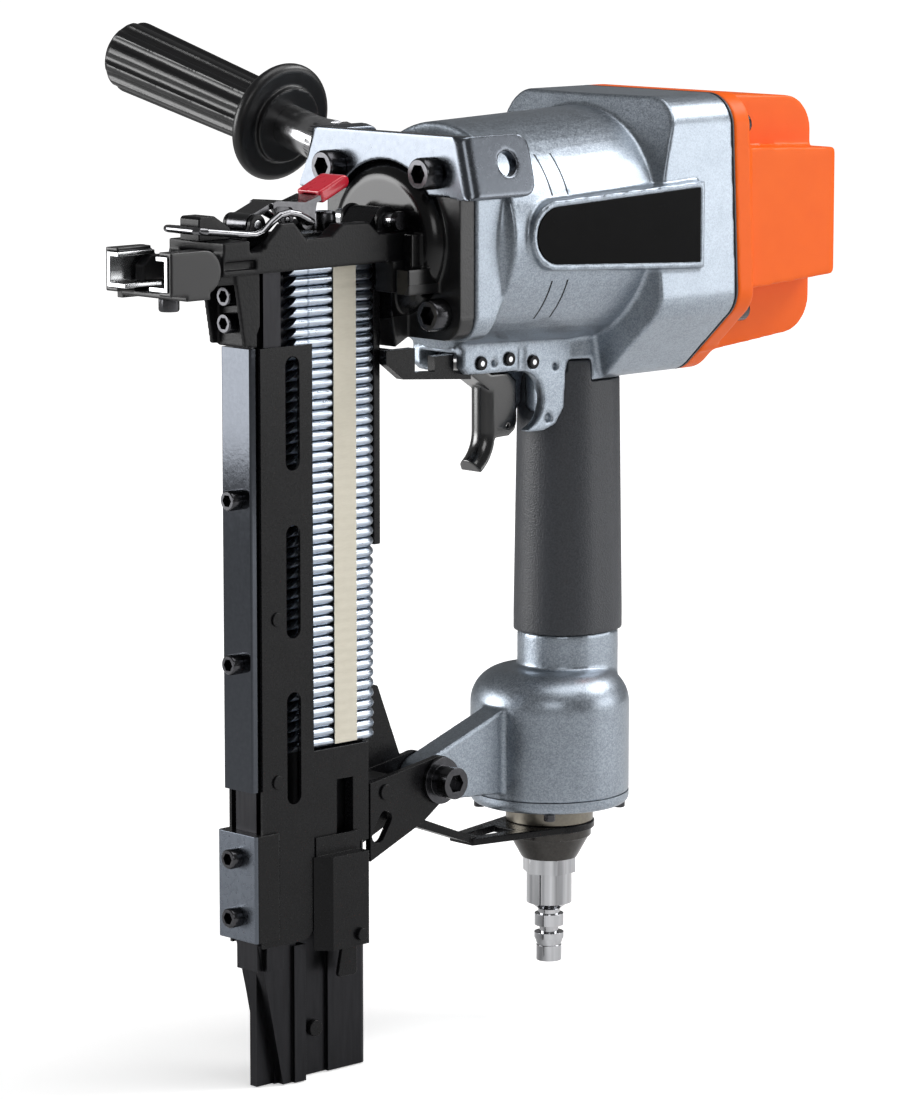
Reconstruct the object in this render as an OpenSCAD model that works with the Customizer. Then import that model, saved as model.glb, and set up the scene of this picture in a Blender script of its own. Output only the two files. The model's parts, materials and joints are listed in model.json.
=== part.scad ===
// Air-driven fencing stapler, an assembly of separate pieces in one frame, in millimetres.
// Origin at the centre of the hand grip, +Z up, -X the way it fires, -Y its left side.

/* [Fits] */
// Gap between pieces that slide past each other
slide_gap = 0.4; // [0.3:0.05:0.6]
// Radial clearance of a pin or shaft that turns or slides in its hole
run_gap = 0.06; // [0.02:0.01:0.1]
// Gap round a fixed piece that sits inside another
seat_gap = 0.1; // [0.05:0.05:0.2]

/* [Drive] */
// Height of the drive axis above the centre of the hand grip
drive_z = 128; // [126:1:131]
// Radius of the cylinder bore
bore_r = 30; // [28:0.5:31]
// Wall of the cylinder sleeve
sleeve_wall = 3; // [2:0.5:3.5]
// Length of the piston along the drive axis
piston_len = 12; // [10:1:14]
// Length of the rubber bumper
bumper_len = 15; // [12:1:16]
// Width of the driver blade across the tool
blade_w = 13; // [11:0.5:13.5]
// Thickness of the driver blade
blade_t = 4; // [3.5:0.1:4.2]
// Front end of the driver blade at rest, ahead of the grip axis
blade_tip = 113; // [112:0.5:114]
// Length of the head valve
valve_len = 15; // [12:1:16]
// Travel of the head valve
valve_travel = 5; // [4:0.5:6]

/* [Barrel] */
// Front face of the barrel, ahead of the grip axis
barrel_front = 92; // [91:0.5:93]
// Rear face of the barrel, behind the grip axis
barrel_back = 46; // [44:0.5:48]
// Outer radius of the barrel at its front
barrel_r_front = 45; // [44:0.5:46]
// Outer radius of the barrel at its rear
barrel_r_back = 50; // [49:0.5:52]
// Thickness of the barrel's front wall
front_wall = 6; // [5:0.5:8]
// Half width of the square front collar
collar_half = 39.5; // [38.5:0.5:42]
// Length of the front collar
collar_len = 16; // [14:1:20]
// Half width of the rear flange
flange_half = 52; // [51.5:0.5:55]
// Reach of the rear flange above the drive axis
flange_up = 55; // [52:0.5:57]
// Reach of the rear flange below the drive axis
flange_down = 63; // [57:0.5:64]
// Corner radius of the rear flange
flange_r = 14; // [12:0.5:22]
// Half angle of the flange's steep front face round the drive axis
flange_cone = 72; // [60:1:76]
// Backward tilt of the flange's front face
flange_tilt = 6; // [3:0.5:8]
// Width of the two decorative grooves round the barrel
groove_w = 0.9; // [0.8:0.1:1.6]
// Depth of the decorative grooves
groove_d = 0.7; // [0.4:0.1:1]

/* [Badge] */
// Length of the badge along the barrel
badge_len = 88; // [78:1:88]
// Height of the badge at its rear end
badge_h_back = 30.5; // [28:0.5:33]
// Height of the badge at its rounded front end
badge_h_front = 23; // [20:0.5:26]
// Width of the raised rim round the badge
badge_rim = 2.6; // [2:0.2:3.4]
// Thickness of the badge plate
badge_t = 1; // [0.6:0.1:1.4]

/* [Rear cap] */
// Thickness of the gasket between barrel and cap
gasket_t = 1; // [0.6:0.1:1.6]
// Thickness of the cap's flange
cap_flange_t = 10; // [8:0.5:12]
// Length of the cap's body behind its flange
cap_len = 60; // [50:1:66]
// Half height of the cap's side blocks at the flange
cap_side_half = 30.5; // [29:0.5:32]
// Half width over the cap's side blocks at the flange
cap_side_reach = 49; // [47:0.5:50]
// Half width of the cap's upright block
cap_mid_half = 31; // [29.5:0.5:32]
// Top of the upright block above the drive axis
cap_mid_up = 54; // [49:0.5:55]
// Bottom of the upright block below the drive axis
cap_mid_down = 57; // [48:0.5:58]
// Radius of the upright block's rear edges
cap_edge_r = 16; // [12:1:20]
// Sideways distance of the cap bolts from the drive axis
cap_bolt_y = 39.5; // [38:0.5:43.5]
// Upward distance of the upper cap bolts from the drive axis
cap_bolt_z = 40; // [39:0.5:42]
// How much nearer the lower cap bolts are
cap_bolt_drop = 3; // [2:0.5:4]
// Thread diameter of the cap bolts
cap_bolt_d = 6; // [5:0.5:7]

/* [Handle] */
// Radius of the round ends of the handle core's oval
core_r = 15.5; // [14.5:0.25:16]
// Half distance between the centres of the oval's round ends
oval_half = 3.5; // [2.5:0.25:4.5]
// Radius of the neck below and the root above the rubber grip
neck_r = 18.6; // [18:0.1:19.2]
// Radius of the rubber grip at its top
grip_r_top = 18.6; // [18:0.1:19.4]
// Radius of the rubber grip at its bottom
grip_r_low = 20.2; // [19.4:0.1:21]
// Lower end of the rubber grip
grip_low = -41; // [-44:1:-38]
// Upper end of the rubber grip at its back
grip_high = 64.5; // [60:0.5:66]
// Upper end of the rubber grip beside the cheeks
grip_front_high = 73.5; // [72:0.5:75]
// Step between the two ends, ahead of the grip axis
grip_step_x = 5.2; // [4:0.2:7]
// Centre line of the bulb at the foot of the handle, ahead of the grip axis
bulb_x = 10.5; // [9:0.5:12]
// Radius of the bulb
bulb_r = 33.2; // [32:0.2:34]
// Radius of the bulb's shoulder
bulb_round = 15; // [12:0.5:17]
// Top of the bulb's shoulder
bulb_high = -56; // [-60:1:-54]
// Lower face of the bulb
bulb_low = -108; // [-110:0.5:-106]
// Thickness of the end cap under the bulb
end_cap_t = 5; // [4:0.5:7]

/* [Air inlet] */
// Radius of the inlet bush's shoulder
bush_r = 18.3; // [17:0.1:19]
// Height of the inlet bush's shoulder
bush_h = 8; // [6:0.5:9]
// Radius of the bush's core
bush_core_r = 11; // [10:0.5:12]
// Thickness of the stay plate
stay_t = 3; // [2:0.5:4]
// Height of the cone nut under the stay plate
cone_h = 13; // [11:0.5:15]
// Width across the corners of the plug's hexagon
plug_hex = 22.8; // [21:0.2:24]
// Radius of the plug's body
plug_r = 9.5; // [9:0.1:10]
// Radius of the plug's tip
plug_tip_r = 5.3; // [5:0.1:5.6]
// Length of the plug's straight tip
plug_tip_len = 6.5; // [5:0.5:8]

/* [Trigger] */
// Trigger pivot, ahead of the grip axis
trigger_x = 65.5; // [64:0.5:67]
// Height of the trigger pivot above the grip centre
trigger_z = 76.5; // [75.5:0.25:77.5]
// Radius of the cross pins
pin_r = 2; // [1.6:0.1:2.4]
// Outer half width of the trigger cheeks
cheek_half = 15; // [14:0.25:15]
// Thickness of each cheek
cheek_t = 4.5; // [4:0.25:5]
// Half width of the trigger
trigger_half = 5.85; // [5.5:0.05:8]
// Radius of the trigger's front bar
trigger_bar_r = 5.8; // [4:0.1:6]
// Distance of the front bar behind the pivot
trigger_set = 17.4; // [16.5:0.1:18]
// Radius of the curve that leads the trigger's tip forward
hook_r = 13.5; // [12:0.5:15]
// Centre line of the trigger valve, ahead of the grip axis
stem_x = 43; // [42.5:0.25:48]
// Radius of the trigger valve's stem
stem_r = 2.5; // [2:0.1:3]

/* [Nose base] */
// Half width of the nose flange
nose_half = 38.5; // [37.5:0.5:39]
// Thickness of the nose flange
nose_flange_t = 8; // [7:0.5:9]
// Radius of the dome on the nose flange
dome_r = 31; // [30:0.25:31.5]
// Length of the dome
dome_len = 7; // [6:0.5:7.5]
// Sideways and upward distance of the nose bolts from the drive axis
nose_bolt_pos = 28; // [27.5:0.25:28.5]
// Thread diameter of the nose bolts
nose_bolt_d = 8; // [7:0.5:8]

/* [Handle bracket] */
// Thickness of the bracket's plate
bracket_t = 5; // [4:0.5:6]
// Half width of the bracket's top edge
bracket_half = 44.5; // [43:0.5:46]
// Height of the bracket's top edge above the drive axis
bracket_up = 43; // [41:0.5:44]
// Height of the ears along their slope
ear_h = 25; // [24:0.5:32]
// Length of the ears from the front face
ear_len = 36; // [34:0.5:38]
// Tilt of the ears
ear_tilt = 14; // [12:0.5:16]
// Radius of the threaded handle holes
ear_hole_r = 5; // [4.5:0.25:5.5]
// Distance of the handle holes from the bracket's front face
ear_hole_x = 22.5; // [22:0.5:25]
// Distance of the handle holes from the top edge, along the slope
ear_hole_drop = 11.5; // [10.5:0.5:15]

/* [Side handle] */
// Length of the metal neck between bracket and grip
side_neck_len = 34; // [30:0.5:38]
// Radius of the neck
side_neck_r = 9; // [8:0.25:10]
// Radius of the disc guard
guard_r = 25; // [23:0.5:27]
// Thickness of the disc guard
guard_t = 6; // [5:0.5:8]
// Length of the side grip behind its guard
side_grip_len = 97; // [90:1:104]
// Radius of the side grip next to the guard
side_grip_r0 = 13.4; // [12.5:0.1:14]
// Radius of the side grip near its end
side_grip_r1 = 15.4; // [14.5:0.1:16]
// Number of flutes round the side grip
flute_count = 12; // [10:1:14]
// Radius of each flute
flute_r = 2.6; // [2:0.1:2.8]

/* [Nose frame] */
// Front end of the nose beams, ahead of the grip axis
beam_front = 204; // [203:0.5:205]
// Half width over the beams
beam_half = 16; // [15.5:0.1:16.2]
// Bottom of the beams below the drive axis
beam_down = 7; // [6.5:0.1:7.5]
// Front edge of the beams' low part above the drive axis
beam_up = 1.5; // [1:0.1:1.7]
// Hinge of the nose door, ahead of the grip axis
hinge_x = 113; // [112.5:0.25:113.5]
// Height of the door hinge above the drive axis
hinge_up = 9; // [8.75:0.25:9.5]
// Radius of the hinge pin
hinge_r = 3; // [2.5:0.1:3.2]
// Thickness of the nose door
door_t = 3.2; // [2.6:0.1:3.3]
// Lower face of the nose door above the drive axis
door_up = 3; // [2.8:0.1:3.1]
// Front end of the nose door, ahead of the grip axis
door_front = 188; // [187:0.25:188.5]

/* [Latch] */
// Lever pivot, ahead of the grip axis
lever_x = 179; // [178.5:0.25:179.5]
// Height of the lever pivot above the drive axis
lever_up = 11; // [10.75:0.25:11.5]
// Radius of the lever's pivot barrel
lever_barrel_r = 4.2; // [3.8:0.1:4.4]
// Thickness of the lever's sheet
lever_t = 2.2; // [1.8:0.1:2.6]
// Half width of the lever
lever_half = 7; // [6:0.25:7.5]
// Bail pivot on the lever, ahead of the grip axis
bail_x = 152; // [151:0.5:153]
// Height of the bail pivot above the drive axis
bail_up = 10.5; // [10.25:0.25:11]
// Radius of the bail's wire
bail_r = 1.5; // [1.2:0.1:1.6]
// Sideways distance of the bail's legs
bail_half = 10.6; // [10.4:0.1:11]
// Front bar of the bail, ahead of the grip axis
bail_front = 210.8; // [210.4:0.1:211.5]
// Height of the catch above the drive axis
catch_up = 15.5; // [14:0.25:16]

/* [Contact jaws] */
// Front end of the jaws, ahead of the grip axis
jaw_front = 233.5; // [232:0.5:235]
// Rear end of the jaw covers, ahead of the grip axis
jaw_back = 207.5; // [207:0.25:209]
// Half width over the jaw covers
jaw_half = 19.2; // [19:0.1:19.4]
// Half width of the gap between the jaws
jaw_gap = 7; // [6.75:0.05:7.5]
// Thickness of the jaw plates
jaw_t = 1.8; // [1.4:0.1:1.9]
// Thickness of the jaw covers
jaw_cover_t = 1.5; // [1.2:0.1:1.6]
// Top of the jaw covers above the drive axis
jaw_up = 4.3; // [4.2:0.05:4.5]
// Bottom of the jaw covers below the drive axis
jaw_down = 12.5; // [12.3:0.05:12.8]
// Travel of the contact jaws
safety_travel = 8; // [6:0.5:10]

/* [Staples] */
// Diameter of the staple wire
wire_d = 4; // [3.7:0.05:4]
// Spacing of the staples in the stick
staple_pitch = 4.1; // [4.1:0.02:4.2]
// Length of a staple from crown to points
staple_len = 50; // [46:0.5:51]
// Half distance between the centre lines of a staple's legs
staple_half = 6; // [5.9:0.05:6.1]
// Number of staples in the stick
staple_count = 48; // [44:1:48]
// Rear of the crowns, ahead of the grip axis
crown_x = 114; // [113.8:0.1:114.4]
// Width of the paper tapes
tape_w = 12; // [9:0.5:14]
// Thickness of the paper tapes
tape_t = 0.4; // [0.3:0.05:0.45]

/* [Magazine] */
// Front face of the rail, ahead of the grip axis
rail_front = 180; // [179.5:0.25:180.5]
// Lower end of the rail below the grip centre
rail_low = 205; // [203:0.5:208]
// Half thickness of the rail's rear bead
bead_half = 3.5; // [3.2:0.05:3.6]
// Half thickness of the rail's web
web_half = 2; // [1.8:0.05:2.2]
// Inner half width between the side plates
channel_half = 8.6; // [8.5:0.05:8.7]
// Thickness of the side plates
plate_t = 1.4; // [1:0.1:1.5]
// Rear edge of the side plates, ahead of the grip axis
plate_back = 152.8; // [152.6:0.1:154]
// Upper end of the side plates
plate_high = 91; // [88:0.5:92]
// Lower end of the side plates below the grip centre
plate_low = 147; // [145:0.5:149]
// Width of the windows in the side plates
window_w = 7.4; // [6:0.2:8]
// Length of the windows
window_len = 45; // [40:0.5:48]
// Spacing of the windows
window_pitch = 66.5; // [65:0.5:67]
// Height of the middle window's centre
window_z = -2; // [-4:0.5:0]
// Thickness of the front bar
front_bar_t = 4; // [3:0.25:4.5]
// Half width of the front bar
front_bar_half = 8.5; // [7.5:0.25:9]
// Lower end of the front bar below the grip centre
front_bar_low = 84; // [80:0.5:88]
// Thread diameter of the magazine's screws
mag_screw_d = 5; // [4:0.5:5]
// Half width of the clamp bracket
clamp_half = 11.6; // [11.4:0.1:12.2]
// Upper end of the clamp bracket below the grip centre
clamp_high = 101; // [98:0.5:104]
// Lower end of the clamp bracket below the grip centre
clamp_low = 144; // [142:0.5:146]
// Thickness of the rear guide bar
guide_t = 3.6; // [3:0.2:4]
// Half width of the rear guide bar
guide_half = 3; // [2.6:0.1:3.4]
// Lower end of the rear guide bar
guide_low = 6.5; // [2:0.5:12]

/* [Pusher] */
// Height of the pusher's slider
slider_h = 40; // [36:0.5:42]
// Rear edge of the slider, ahead of the grip axis
slider_back = 122.4; // [122.3:0.1:123]
// Outer half width of the slider
slider_half = 9; // [8.8:0.05:9.1]
// Outer face of the spring box from the middle plane
box_reach = 16; // [15.5:0.1:17]
// Sheet of the spring box
box_t = 1; // [0.8:0.1:1.2]
// Height of the spring box
box_h = 38; // [34:0.5:40]
// Rear edge of the spring box, ahead of the grip axis
box_back = 128.5; // [127.5:0.25:130]
// Radius of the wound spring
roll_r = 4.6; // [4:0.1:4.8]
// Travel of the pusher
pusher_travel = 40; // [34:0.5:40]

/* [Arms] */
// Half width of the housing lug between the arms
lug_half = 6; // [5.5:0.1:6.2]
// Thickness of the arm plates
arm_t = 3; // [2.5:0.1:3.2]
// Arm bolt, ahead of the grip axis
arm_bolt_x = 83; // [82:0.5:84]
// Height of the arm bolt below the grip centre
arm_bolt_low = 93; // [92:0.5:94]
// Radius of the arms' round end
arm_end_r = 10; // [9.5:0.25:11]
// Thread diameter of the arm bolt
arm_bolt_d = 8; // [7:0.5:8]
// Height of the far arm's fin below the grip centre
fin_high = 53; // [50:0.5:60]

/* [Hidden] */
$fn = 64;
sleeve_r = bore_r + sleeve_wall;
chamber_r = sleeve_r + 4.5;
sleeve_x0 = -barrel_front + front_wall;
cap_x0 = barrel_back + gasket_t;
sleeve_x1 = cap_x0 + 19;
piston_x1 = sleeve_x1 - 4;
piston_x0 = piston_x1 - piston_len;
valve_x0 = sleeve_x1 + 1;
cap_bore_x1 = valve_x0 + valve_len + valve_travel + 1;
cap_body_x0 = cap_x0 + cap_flange_t;
cap_x1 = cap_body_x0 + cap_len;
taper = (barrel_r_back - barrel_r_front) / (barrel_front + barrel_back);
shoulder_r = barrel_r_front + collar_len * taper;
inlet_z = bulb_low - end_cap_t;
stay_z = inlet_z - bush_h;
cone_z = stay_z - stay_t;
plug_z = cone_z - cone_h;
nose_x = -barrel_front - nose_flange_t;
dome_x = nose_x - dome_len;
bracket_x = nose_x - bracket_t;
ear_top_z = drive_z + bracket_up;
ear_hole_y = bracket_half + ear_hole_drop * sin(ear_tilt);
ear_hole_z = ear_top_z - ear_hole_drop * cos(ear_tilt);
ear_pos_x = bracket_x + ear_hole_x;
beam_in = channel_half + 0.3;
hinge_z = drive_z + hinge_up;
door_z0 = drive_z + door_up;
door_z1 = door_z0 + door_t;
lever_z = drive_z + lever_up;
bail_z = drive_z + bail_up;
jaw_z0 = drive_z - jaw_down;
jaw_z1 = drive_z + jaw_up;
staple_z = drive_z - blade_t / 2 - slide_gap - wire_d / 2;
staple_low = staple_z - (staple_count - 1) * staple_pitch - wire_d / 2;
crown_r = staple_half + wire_d / 2;
leg_x1 = -crown_x - crown_r;
leg_x0 = -crown_x - staple_len;
rail_top = staple_z + wire_d / 2 - 1;
bar_x0 = -rail_front - front_bar_t;
plate_out = channel_half + plate_t;
clamp_x0 = -rail_front - 5;
slider_z1 = staple_low - 0.3;
slider_z0 = slider_z1 - slider_h;
box_z1 = slider_z0 - 2.5;
box_z0 = box_z1 - box_h;
arm_in = lug_half;
arm_out = lug_half + arm_t;
link_y0 = jaw_half + 0.6;
stem_low = trigger_z - 6;
cheek_in = cheek_half - cheek_t;
screw_seat = rail_front + 5.2;
leg_screws = [plate_high + 20.5, plate_high + 10];
tape_x = crown_x + 26;
link_out = cheek_in - 0.3;
cross_pins = [[-trigger_x, trigger_z], [-49.6, trigger_z + 0.5], [-35.9, trigger_z - 1.8]];

module rod_x(r, x0, x1) {
  translate([x0, 0, 0])
    rotate([0, 90, 0])
      cylinder(r = r, h = x1 - x0);
}

module rod_y(r, y0, y1) {
  translate([0, y0, 0])
    rotate([-90, 0, 0])
      cylinder(r = r, h = y1 - y0);
}

module rod_z(r, z0, z1) {
  translate([0, 0, z0])
    cylinder(r = r, h = z1 - z0);
}

// A flat shape drawn in (Y, Z), from x0 to x1
module along_x(x0, x1) {
  translate([x0, 0, 0])
    rotate([90, 0, 90])
      linear_extrude(height = x1 - x0)
        children();
}

// A flat shape drawn in (X, Z), from y0 to y1
module along_y(y0, y1) {
  translate([0, y1, 0])
    rotate([90, 0, 0])
      linear_extrude(height = y1 - y0)
        children();
}

// A flat shape drawn in (X, Y), from z0 to z1
module along_z(z0, z1) {
  translate([0, 0, z0])
    linear_extrude(height = z1 - z0)
      children();
}

module block(x0, x1, y0, y1, z0, z1) {
  translate([x0, y0, z0])
    cube([x1 - x0, y1 - y0, z1 - z0]);
}

module both_sides() {
  children();
  mirror([0, 1, 0])
    children();
}

function unit(v) = v / norm(v);
function corner_angle(a, b, c) = acos(unit(a - b) * unit(c - b));
function corner_centre(a, b, c, r) =
  b + unit(unit(a - b) + unit(c - b)) * r / sin(corner_angle(a, b, c) / 2);
function corner_start(a, b, c, r) = b + unit(a - b) * r / tan(corner_angle(a, b, c) / 2);
function corner_end(a, b, c, r) = b + unit(c - b) * r / tan(corner_angle(a, b, c) / 2);

// A convex outline with true arcs of radius r at its corners
module round_outline(p, r) {
  n = len(p);
  polygon([for (i = [0:n - 1], k = [0, 1])
    k == 0 ? corner_start(p[(i + n - 1) % n], p[i], p[(i + 1) % n], r)
       : corner_end(p[(i + n - 1) % n], p[i], p[(i + 1) % n], r)]);
  for (i = [0:n - 1])
    translate(corner_centre(p[(i + n - 1) % n], p[i], p[(i + 1) % n], r))
      circle(r + 0.02);
}

module oval(half, r) {
  translate([-half, -r])
    square([2 * half, 2 * r]);
  for (s = [-1, 1])
    translate([s * half, 0])
      circle(r);
}

// A straight stretch between two points with round ends
module strip(a, b, r) {
  translate(a)
    rotate(atan2(b[1] - a[1], b[0] - a[0])) {
      translate([0, -r])
        square([norm(b - a), 2 * r]);
      circle(r);
      translate([norm(b - a), 0])
        circle(r);
    }
}

// A bent sheet of half thickness h along a list of points
function left_of(d) = [-d[1], d[0]];
function mitre(p, i, h) =
  let (a = i > 0 ? unit(p[i] - p[i - 1]) : unit(p[1] - p[0]),
    b = i < len(p) - 1 ? unit(p[i + 1] - p[i]) : a,
    n = unit(left_of(a) + left_of(b)))
  p[i] + n * h / (n * left_of(a));
module bent_sheet(p, h) {
  n = len(p);
  polygon(concat([for (i = [0:n - 1]) mitre(p, i, -h)], [for (i = [n - 1:-1:0]) mitre(p, i, h)]));
}

// Socket screw along -Z with its head on top of z = 0
module socket_screw(d, len) {
  difference() {
    union() {
      cylinder(r = 0.81 * d, h = d);
      translate([0, 0, -len])
        cylinder(r = d / 2, h = len);
    }
    translate([0, 0, 0.5 * d])
      cylinder(r = 0.49 * d, h = d, $fn = 6);
  }
}

// The same screw with its head towards -X, seated at x = 0
module screw_front(d, len) {
  rotate([0, -90, 0])
    socket_screw(d, len);
}

module screw_back(d, len) {
  rotate([0, 90, 0])
    socket_screw(d, len);
}

// A round wire along a list of points
function turn(v, t) = unit(v - (v * t) * t);
function path_dir(p, i) = unit(p[min(i + 1, len(p) - 1)] - p[max(i - 1, 0)]);
function path_side(p, v, i) = i == 0 ? turn(v, path_dir(p, 0)) : turn(path_side(p, v, i - 1), path_dir(p, i));
module wire(p, r, side, sides) {
  n = len(p);
  polyhedron(
    points = [for (i = [0:n - 1])
      let (t = path_dir(p, i), u = path_side(p, side, i), v = cross(t, u))
      for (k = [0:sides - 1])
        p[i] + r * (cos(360 * k / sides) * u + sin(360 * k / sides) * v)],
    faces = concat(
      [[for (k = [sides - 1:-1:0]) k]],
      [for (i = [0:n - 2], k = [0:sides - 1])
        [i * sides + k, i * sides + (k + 1) % sides, (i + 1) * sides + (k + 1) % sides,
          (i + 1) * sides + k]],
      [[for (k = [0:sides - 1]) (n - 1) * sides + k]]),
    convexity = 6);
}

module flange_outline() {
  translate([0, drive_z])
    round_outline([[-20, -flange_down], [20, -flange_down], [flange_half, 30 - flange_down],
      [flange_half - 4, flange_up - 1.5], [4 - flange_half, flange_up - 1.5],
      [-flange_half, 30 - flange_down]], flange_r);
}

module square_outline(half, r) {
  translate([0, drive_z])
    round_outline([[-half, -half], [half, -half], [half, half], [-half, half]], r);
}

module cap_bolt_places() {
  for (sy = [-1, 1], sz = [-1, 1])
    translate([0, sy * cap_bolt_y, drive_z + sz * cap_bolt_z + (sz < 0 ? cap_bolt_drop : 0)])
      children();
}

module nose_bolt_places(sz) {
  for (sy = [-1, 1])
    translate([0, sy * nose_bolt_pos, drive_z + sz * nose_bolt_pos])
      children();
}

// Side view of a trigger cheek, grown by g towards the rear and below
module cheek_outline(g) {
  difference() {
    polygon([[-75.2 - g, drive_z - 30], [-75.2 - g, 75], [-71.5, 72.2 - g], [-44.5, 71.6 - g], [-40, 62],
      [-38.5, 46 - g], [-30, 45.6 - g], [-22.5, 47.8 - g], [-17.2 + g, 54.5 - g], [-16.4 + g, 69],
      [-15 + g, grip_front_high], [-15 + g, drive_z - 30]]);
    translate([-42, 58.9])
      circle(12.2 - g);
  }
}

// Side view of the badge, its front end round, for the near side
module badge_outline(g) {
  x0 = -badge_len / 2;
  h0 = badge_h_front / 2;
  h1 = badge_h_back / 2 + g;
  polygon([[x0 + h0, h0 + g], [-x0 + g, h1], [-x0 + g, -h1], [x0 + h0, -h0 - g]]);
  translate([x0 + h0, 0])
    circle(h0 + g);
}

module badge_place() {
  translate([-23, -(barrel_r_front + barrel_r_back) / 2 - 4.2, drive_z + 1.7])
    rotate([0, 0, -4])
      children();
}

module stay_outline() {
  difference() {
    union() {
      translate([-bulb_x, 0])
        circle(bush_r + 0.6);
      polygon([[-bulb_x - 8, -17], [-bulb_x - 8, 17], [-62, 7], [-62, -7]]);
    }
    translate([-bulb_x, 0])
      circle(bush_core_r + seat_gap);
    polygon([[-37, -6], [-37, 6], [-56, 3], [-56, -3]]);
  }
}

module main_housing() {
  color([0.72, 0.73, 0.74])
    difference() {
      union() {
        translate([-barrel_front + collar_len, 0, drive_z])
          rotate([0, 90, 0])
            cylinder(r1 = shoulder_r, r2 = barrel_r_back, h = barrel_front + barrel_back - collar_len - 2);
        translate([0, 0, drive_z])
          rod_x(collar_half - 0.8, -barrel_front, -barrel_front + collar_len + 1);
        translate([-barrel_front + collar_len, 0, drive_z])
          rotate([0, 90, 0])
            rotate_extrude()
              difference() {
                translate([collar_half - 6, -8])
                  square([shoulder_r - collar_half + 6, 9]);
                translate([shoulder_r + 0.8, -8])
                  circle(7.5);
              }
        intersection() {
          along_x(-barrel_front, -barrel_front + collar_len + 12)
            square_outline(collar_half, 10);
          translate([-barrel_front, 0, drive_z])
            rotate([0, 90, 0])
              cylinder(r1 = barrel_r_front + collar_len, r2 = barrel_r_front - 10,
                h = collar_len + 10);
        }
        intersection() {
          along_x(-20, barrel_back)
            flange_outline();
          translate([0, 0, drive_z])
            rotate([0, 90 + flange_tilt, 0])
              cylinder(r1 = barrel_r_back - 4, h = barrel_back + 20,
                r2 = barrel_r_back - 4 + (barrel_back + 20) * tan(flange_cone));
        }
        both_sides()
          badge_place()
            along_y(0, 12)
              badge_outline(badge_rim);
        both_sides()
          along_y(cheek_half - cheek_t, cheek_half)
            cheek_outline(0);
        block(-75.2, -15, -cheek_half, cheek_half, trigger_z + 4.5, drive_z - 36);
        difference() {
          along_z(grip_high + 0.3, drive_z - 36)
            oval(oval_half, neck_r);
          block(-40, 0.15 - grip_step_x, -40, 40, 0, grip_front_high + 0.3);
        }
        along_z(grip_low - 1, grip_front_high + 1)
          oval(oval_half, core_r);
        along_z(bulb_low + 20, grip_low - 0.3)
          oval(oval_half, neck_r);
        translate([-bulb_x, 0, 0])
          rotate_extrude() {
            translate([0, bulb_low])
              square([bulb_r, bulb_high - bulb_round - bulb_low]);
            translate([0, bulb_low])
              square([bulb_r - bulb_round, bulb_high - bulb_low]);
            translate([bulb_r - bulb_round, bulb_high - bulb_round])
              circle(bulb_round);
          }
        along_y(-lug_half, lug_half)
          union() {
            polygon([[-28, -64], [-52, -72.5], [-arm_bolt_x - 2, -arm_bolt_low + 9],
              [-arm_bolt_x, -arm_bolt_low - 9.3], [-28, -106]]);
            translate([-arm_bolt_x, -arm_bolt_low])
              circle(9.3);
          }
      }
      translate([0, 0, drive_z]) {
        rod_x(sleeve_r + seat_gap, sleeve_x0, barrel_back + 1);
        rod_x(chamber_r, sleeve_x0 + 12, barrel_back - 12);
        rod_x(12, -barrel_front - 1, sleeve_x0 + 1);
        for (x = [-53.8, -45.2])
          rotate([0, 90, 0])
            for (a = [-44, 136])
              rotate([0, 0, a + 90])
                rotate_extrude(angle = 88)
                  translate([barrel_r_front + (x + barrel_front) * taper - groove_d, x])
                    square([3, groove_w]);
      }
      both_sides()
        badge_place()
          along_y(-1, badge_t)
            badge_outline(seat_gap);
      cap_bolt_places()
        rod_x(cap_bolt_d / 2 + 0.2, 20, barrel_back + 1);
      for (sz = [-1, 1])
        nose_bolt_places(sz)
          rod_x(nose_bolt_d / 2 + 0.2, -barrel_front - 1, -barrel_front + 15);
      translate([-stem_x, 0, 0])
        rod_z(8 + seat_gap, 70, drive_z - chamber_r + 4);
      rod_z(9, bulb_low + 10, drive_z - chamber_r + 4);
      translate([-bulb_x, 0, 0])
        rod_z(bulb_r - 6, bulb_low - 1, bulb_high - bulb_round - 4);
      for (p = cross_pins)
        translate([p[0], 0, p[1]])
          rod_y(pin_r + run_gap, -30, 30);
      block(-120, -30, -cheek_in, cheek_in, 60, trigger_z + 4.5);
      both_sides() {
        for (h = [[-57.9, 76, 1.2], [-22.6, 71.9, 1.3], [-26.5, 50.9, 1.8]])
          translate([h[0], 0, h[1]])
            rod_y(h[2], -cheek_half - 1, -cheek_half + 2.5);
        block(-44.4, -39.9, -cheek_half - 1, -cheek_half + 0.7, 71, 82);
      }
      translate([-arm_bolt_x, 0, -arm_bolt_low])
        rod_y(arm_bolt_d / 2 + 0.2, -20, 20);
      for (a = [45:90:315])
        translate([-bulb_x + (bulb_r - 4) * cos(a), (bulb_r - 4) * sin(a), 0])
          rod_z(1.7, bulb_low - 1, bulb_low + 8);
    }
}

module badges() {
  color([0.03, 0.03, 0.03])
    both_sides()
      badge_place()
        along_y(0, badge_t)
          badge_outline(0);
}

module cap_gasket() {
  color([0.05, 0.05, 0.05])
    difference() {
      along_x(barrel_back, cap_x0)
        flange_outline();
      translate([0, 0, drive_z])
        rod_x(chamber_r, barrel_back - 1, cap_x0 + 1);
      cap_bolt_places()
        rod_x(cap_bolt_d / 2 + 0.2, barrel_back - 1, cap_x0 + 1);
    }
}

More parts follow.
